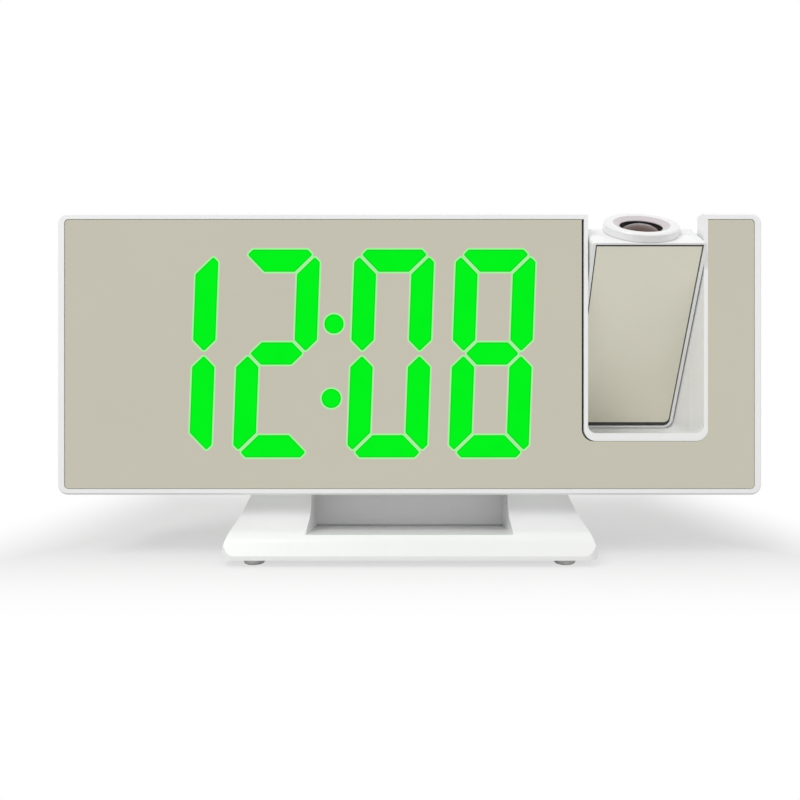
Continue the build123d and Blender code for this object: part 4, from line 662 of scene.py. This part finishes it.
# %% Small plastics and rubber
black_plastic = finish_material(
    "black_abs", colour=grey(0.02), shade=grey(0.028),
    grain_scale=3600.0, grain_depth=0.25, gloss=(0.35, 0.5),
    mottle_scale=120.0, mottle_amount=0.5, marked=0.05, IOR=1.5,
)
dress(
    black_plastic, "display_connector", "control_chips", "buzzer", "snooze_switch", "dc_power_jack",
    "lens_barrel", "light_tube", "lens_holder",
)
pale_plastic = finish_material(
    "natural_acetal", colour=(0.78, 0.77, 0.73), shade=(0.72, 0.71, 0.67),
    grain_scale=2500.0, grain_depth=0.15, gloss=(0.35, 0.45),
    mottle_scale=90.0, mottle_amount=0.4, marked=0.03, IOR=1.48, Subsurface_Weight=0.05,
)
dress(pale_plastic, "usb_tongue", "projector_connector", "pivot_bushes", "display_reflector")
foot_rubber = finish_material(
    "foot_rubber", colour=(0.80, 0.80, 0.79), shade=(0.74, 0.74, 0.73),
    grain_scale=2200.0, grain_depth=0.35, gloss=(0.55, 0.7),
    mottle_scale=200.0, mottle_amount=0.5, marked=0.05, Sheen_Weight=0.1,
)
dress(foot_rubber, "rubber_feet")
cable_rubber = finish_material(
    "cable_jacket", colour=grey(0.025), shade=grey(0.035),
    grain_scale=3000.0, grain_depth=0.3, gloss=(0.5, 0.6),
    mottle_scale=200.0, mottle_amount=0.5, marked=0.05,
)
dress(cable_rubber, "projector_lead", "projector_inner_lead")
print("made:", [m.name for m in (black_plastic, pale_plastic, foot_rubber, cable_rubber)])

# %% [markdown]
# ### Boards and washers
#
# Circuit boards are green under a thin clear lacquer, which the coat gives. The LED packages are
# yellowish, from the phosphor in them, and the washers are pressed fibre, dull and brown.

# %% Boards and washers
board = finish_material(
    "green_solder_mask", colour=(0.02, 0.16, 0.06), shade=(0.015, 0.11, 0.045),
    grain_scale=2500.0, grain_depth=0.15, gloss=(0.25, 0.35),
    mottle_scale=260.0, mottle_amount=0.6, marked=0.05, Coat_Weight=0.3,
)
dress(board, "display_board", "main_board", "projector_led_board")
led_package = finish_material(
    "led_package", colour=(0.80, 0.76, 0.52), shade=(0.72, 0.68, 0.45),
    grain_scale=2500.0, grain_depth=0.1, gloss=(0.3, 0.4),
    mottle_scale=200.0, mottle_amount=0.4, marked=0.0,
)
dress(led_package, "segment_leds", "projector_led")
fibre = finish_material(
    "fibre_washer", colour=(0.35, 0.27, 0.17), shade=(0.28, 0.21, 0.13),
    grain_scale=1800.0, grain_depth=0.5, gloss=(0.6, 0.75),
    mottle_scale=300.0, mottle_amount=0.7, marked=0.0,
)
dress(fibre, "friction_washers")
print("made:", [m.name for m in (board, led_package, fibre)])

# %% [markdown]
# ### Metals
#
# Screws, the USB shell, the coin cell, the domes and the pivot are plated steel. The capacitor cans
# are aluminium, and the contacts are brass. Each is a metal with its own colour and a narrow gloss.

# %% Metals
plated_steel = finish_material(
    "plated_steel", colour=grey(0.62), shade=(0.55, 0.55, 0.54),
    grain_scale=5200.0, grain_depth=0.15, gloss=(0.18, 0.3),
    mottle_scale=150.0, mottle_amount=0.5, marked=0.08, Metallic=1.0,
)
dress(
    plated_steel, "display_screws", "board_screws", "case_screws", "stand_screws", "base_screws",
    "projector_screws", "usb_charging_port", "backup_cell", "key_domes", "pivot_tube", "pivot_pin",
)
soft_aluminium = finish_material(
    "capacitor_can", colour=(0.70, 0.71, 0.72), shade=(0.62, 0.63, 0.64),
    grain_scale=3000.0, grain_depth=0.1, gloss=(0.25, 0.35),
    mottle_scale=150.0, mottle_amount=0.4, marked=0.05, Metallic=1.0,
)
dress(soft_aluminium, "capacitors")
brass = finish_material(
    "plated_brass", colour=(0.72, 0.52, 0.22), shade=(0.60, 0.42, 0.18),
    grain_scale=3000.0, grain_depth=0.12, gloss=(0.2, 0.32),
    mottle_scale=150.0, mottle_amount=0.5, marked=0.05, Metallic=1.0,
)
dress(brass, "dc_jack_pin", "cell_contacts")
print("made:", [m.name for m in (plated_steel, soft_aluminium, brass)])

# %% [markdown]
# ### Lenses
#
# The projection lens has a coating that throws little light back, and a black barrel behind it: it
# looks brown-red from the front. Half of its light goes through the glass and half comes back from
# the tint. The condenser and the small image plate are clear, deeper in the arm.


# %% Lenses
def glass_material(name, colour, roughness, clear=1.0, specular=0.5):
    """Tinted glass with a faint drift in its tint, and a few cleaning marks."""
    material, tree, shader, where = new_material(name)
    drift = tuple(0.9 * c for c in colour)
    tone = place_group(tree, mottle, where, Colour=(*colour, 1), Shade=(*drift, 1), Scale=200.0)
    worn = place_group(tree, marks, where, Roughness=roughness, Amount=0.02)
    tree.links.new(tone["Colour"], shader.inputs["Base Color"])
    tree.links.new(worn["Roughness"], shader.inputs["Roughness"])
    shader.inputs["Transmission Weight"].default_value = clear
    shader.inputs["IOR"].default_value = 1.5
    shader.inputs["Specular IOR Level"].default_value = specular
    return material


coated_glass = glass_material("coated_lens", (0.13, 0.055, 0.04), 0.05, clear=0.5, specular=0.35)
dress(coated_glass, "projection_lens")
clear_glass = glass_material("clear_optics", (0.92, 0.94, 0.95), 0.02)
dress(clear_glass, "condenser_lens", "image_plate")
print("made:", [m.name for m in (coated_glass, clear_glass)])

# %% [markdown]
# ## Display
#
# A lit segment is light of one green, a little uneven as the LEDs behind it are. Emission gives it,
# on a black base, so that the room's light doesn't wash the green out. A segment that is off shows
# only as its pale diffuser, behind the mirror's film.


# %% Light of the segments
def glow_material(name, colour, drift):
    """Light of one colour, a little uneven over each segment."""
    material, tree, shader, where = new_material(name)
    tone = place_group(
        tree, mottle, where, Colour=(*colour, 1), Shade=(*drift, 1), Scale=120.0, Amount=0.6
    )
    tree.links.new(tone["Colour"], shader.inputs["Emission Color"])
    shader.inputs["Base Color"].default_value = (0.0, 0.0, 0.0, 1)
    shader.inputs["Roughness"].default_value = 0.5
    shader.inputs["Specular IOR Level"].default_value = 0.0
    shader.inputs["Emission Strength"].default_value = 1.0
    return material


green_glow = glow_material("green_segment_light", (0.001, 0.91, 0.011), (0.0006, 0.87, 0.012))
rim_glow = glow_material("green_rim_light", (0.34, 0.96, 0.32), (0.31, 0.92, 0.29))
edge_glow = glow_material("green_edge_light", (0.012, 0.63, 0.024), (0.010, 0.60, 0.022))
dim_diffuser = finish_material(
    "unlit_diffuser", colour=(0.62, 0.66, 0.6), shade=(0.56, 0.6, 0.54),
    grain_scale=2500.0, grain_depth=0.1, gloss=(0.4, 0.5),
    mottle_scale=150.0, mottle_amount=0.4, marked=0.0, Subsurface_Weight=0.1,
)
dress(dim_diffuser, "unlit_segments")
dress(green_glow, "lit_segments")
print("made:", [m.name for m in (green_glow, rim_glow, edge_glow, dim_diffuser)])

# %% [markdown]
# ### The digits on the mirror
#
# The light of each lit segment comes through the mirror's film, so the digits seem to lie on the
# mirror's face. A solid behind an opaque mirror can't show that, so each glowing outline is a very
# thin piece on the mirror. Its outline is the diffuser's own front face, found by throwing away every
# face that reaches further back and joining what is left.


# %% Outlines of the lit segments
def front_faces(node, tolerance=0.01 * MM):
    """A bmesh of a node's foremost flat faces, each island joined to one face."""
    bm = bmesh.new()
    bm.from_mesh(nodes[node].data)
    bmesh.ops.remove_doubles(bm, verts=bm.verts, dist=tolerance)
    front = min(v.co.y for v in bm.verts)
    back = [f for f in bm.faces if max(v.co.y for v in f.verts) > front + tolerance]
    bmesh.ops.delete(bm, geom=back, context="FACES")
    bmesh.ops.dissolve_limit(
        bm, angle_limit=radians(0.5), verts=bm.verts, edges=bm.edges, delimit=set()
    )
    return bm


glow = front_faces("lit_segments")
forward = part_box("mirror_panel")[0].y - min(v.co.y for v in glow.verts)
bmesh.ops.translate(glow, verts=glow.verts, vec=(0, forward, 0))
print("moved", len(glow.faces), "outlines by", round(forward / MM, 2), "mm onto the mirror's face")

# %% [markdown]
# The light spreads a little in the acrylic, so each outline grows outwards by a hair. Its rim is
# paler, where light spreads sideways, and the line inside the rim is darker, where the light well's
# wall takes some of it. A negative inset moves an outline outwards and leaves a folded ring, which is
# deleted; two more insets make the rim and the line.

# %% Glow of the digits
HALO_W = 0.33 * MM
RIM_W = 0.44 * MM
EDGE_W = 0.32 * MM
GLOW_T = 0.05 * MM


def inset_each(bm, faces, width):
    """Insets each face by itself and gives back the rings; a negative width goes outwards."""
    return bmesh.ops.inset_individual(bm, faces=faces, thickness=width, use_even_offset=True)["faces"]


inner_faces = list(glow.faces)
bmesh.ops.delete(glow, geom=inset_each(glow, inner_faces, -HALO_W), context="FACES")
for slot, width in enumerate((RIM_W, EDGE_W), start=1):
    for face in inset_each(glow, inner_faces, width):
        face.material_index = slot
raised = bmesh.ops.extrude_face_region(glow, geom=glow.faces[:])["geom"]
tops = [piece for piece in raised if isinstance(piece, bmesh.types.BMVert)]
bmesh.ops.translate(glow, verts=tops, vec=(0, -GLOW_T, 0))
bmesh.ops.recalc_face_normals(glow, faces=glow.faces)
glow_mesh = bpy.data.meshes.new("digit_glow")
glow.to_mesh(glow_mesh)
glow.free()
for material in (green_glow, rim_glow, edge_glow):
    glow_mesh.materials.append(material)
digit_glow = bpy.data.objects.new("digit_glow", glow_mesh)
scene.collection.objects.link(digit_glow)
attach(digit_glow, "clock_body")
print("digit glow:", len(inner_faces), "segments")

# %% [markdown]
# ## Growth in size
#
# The dressed clock's growth over the imported model is measured and printed.

# %% Write the sizes and finish
look_low, look_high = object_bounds()
growth = (look_high - look_low) - (cad_high - cad_low)
print("size check in mm:", [round(v / MM, 2) for v in growth])
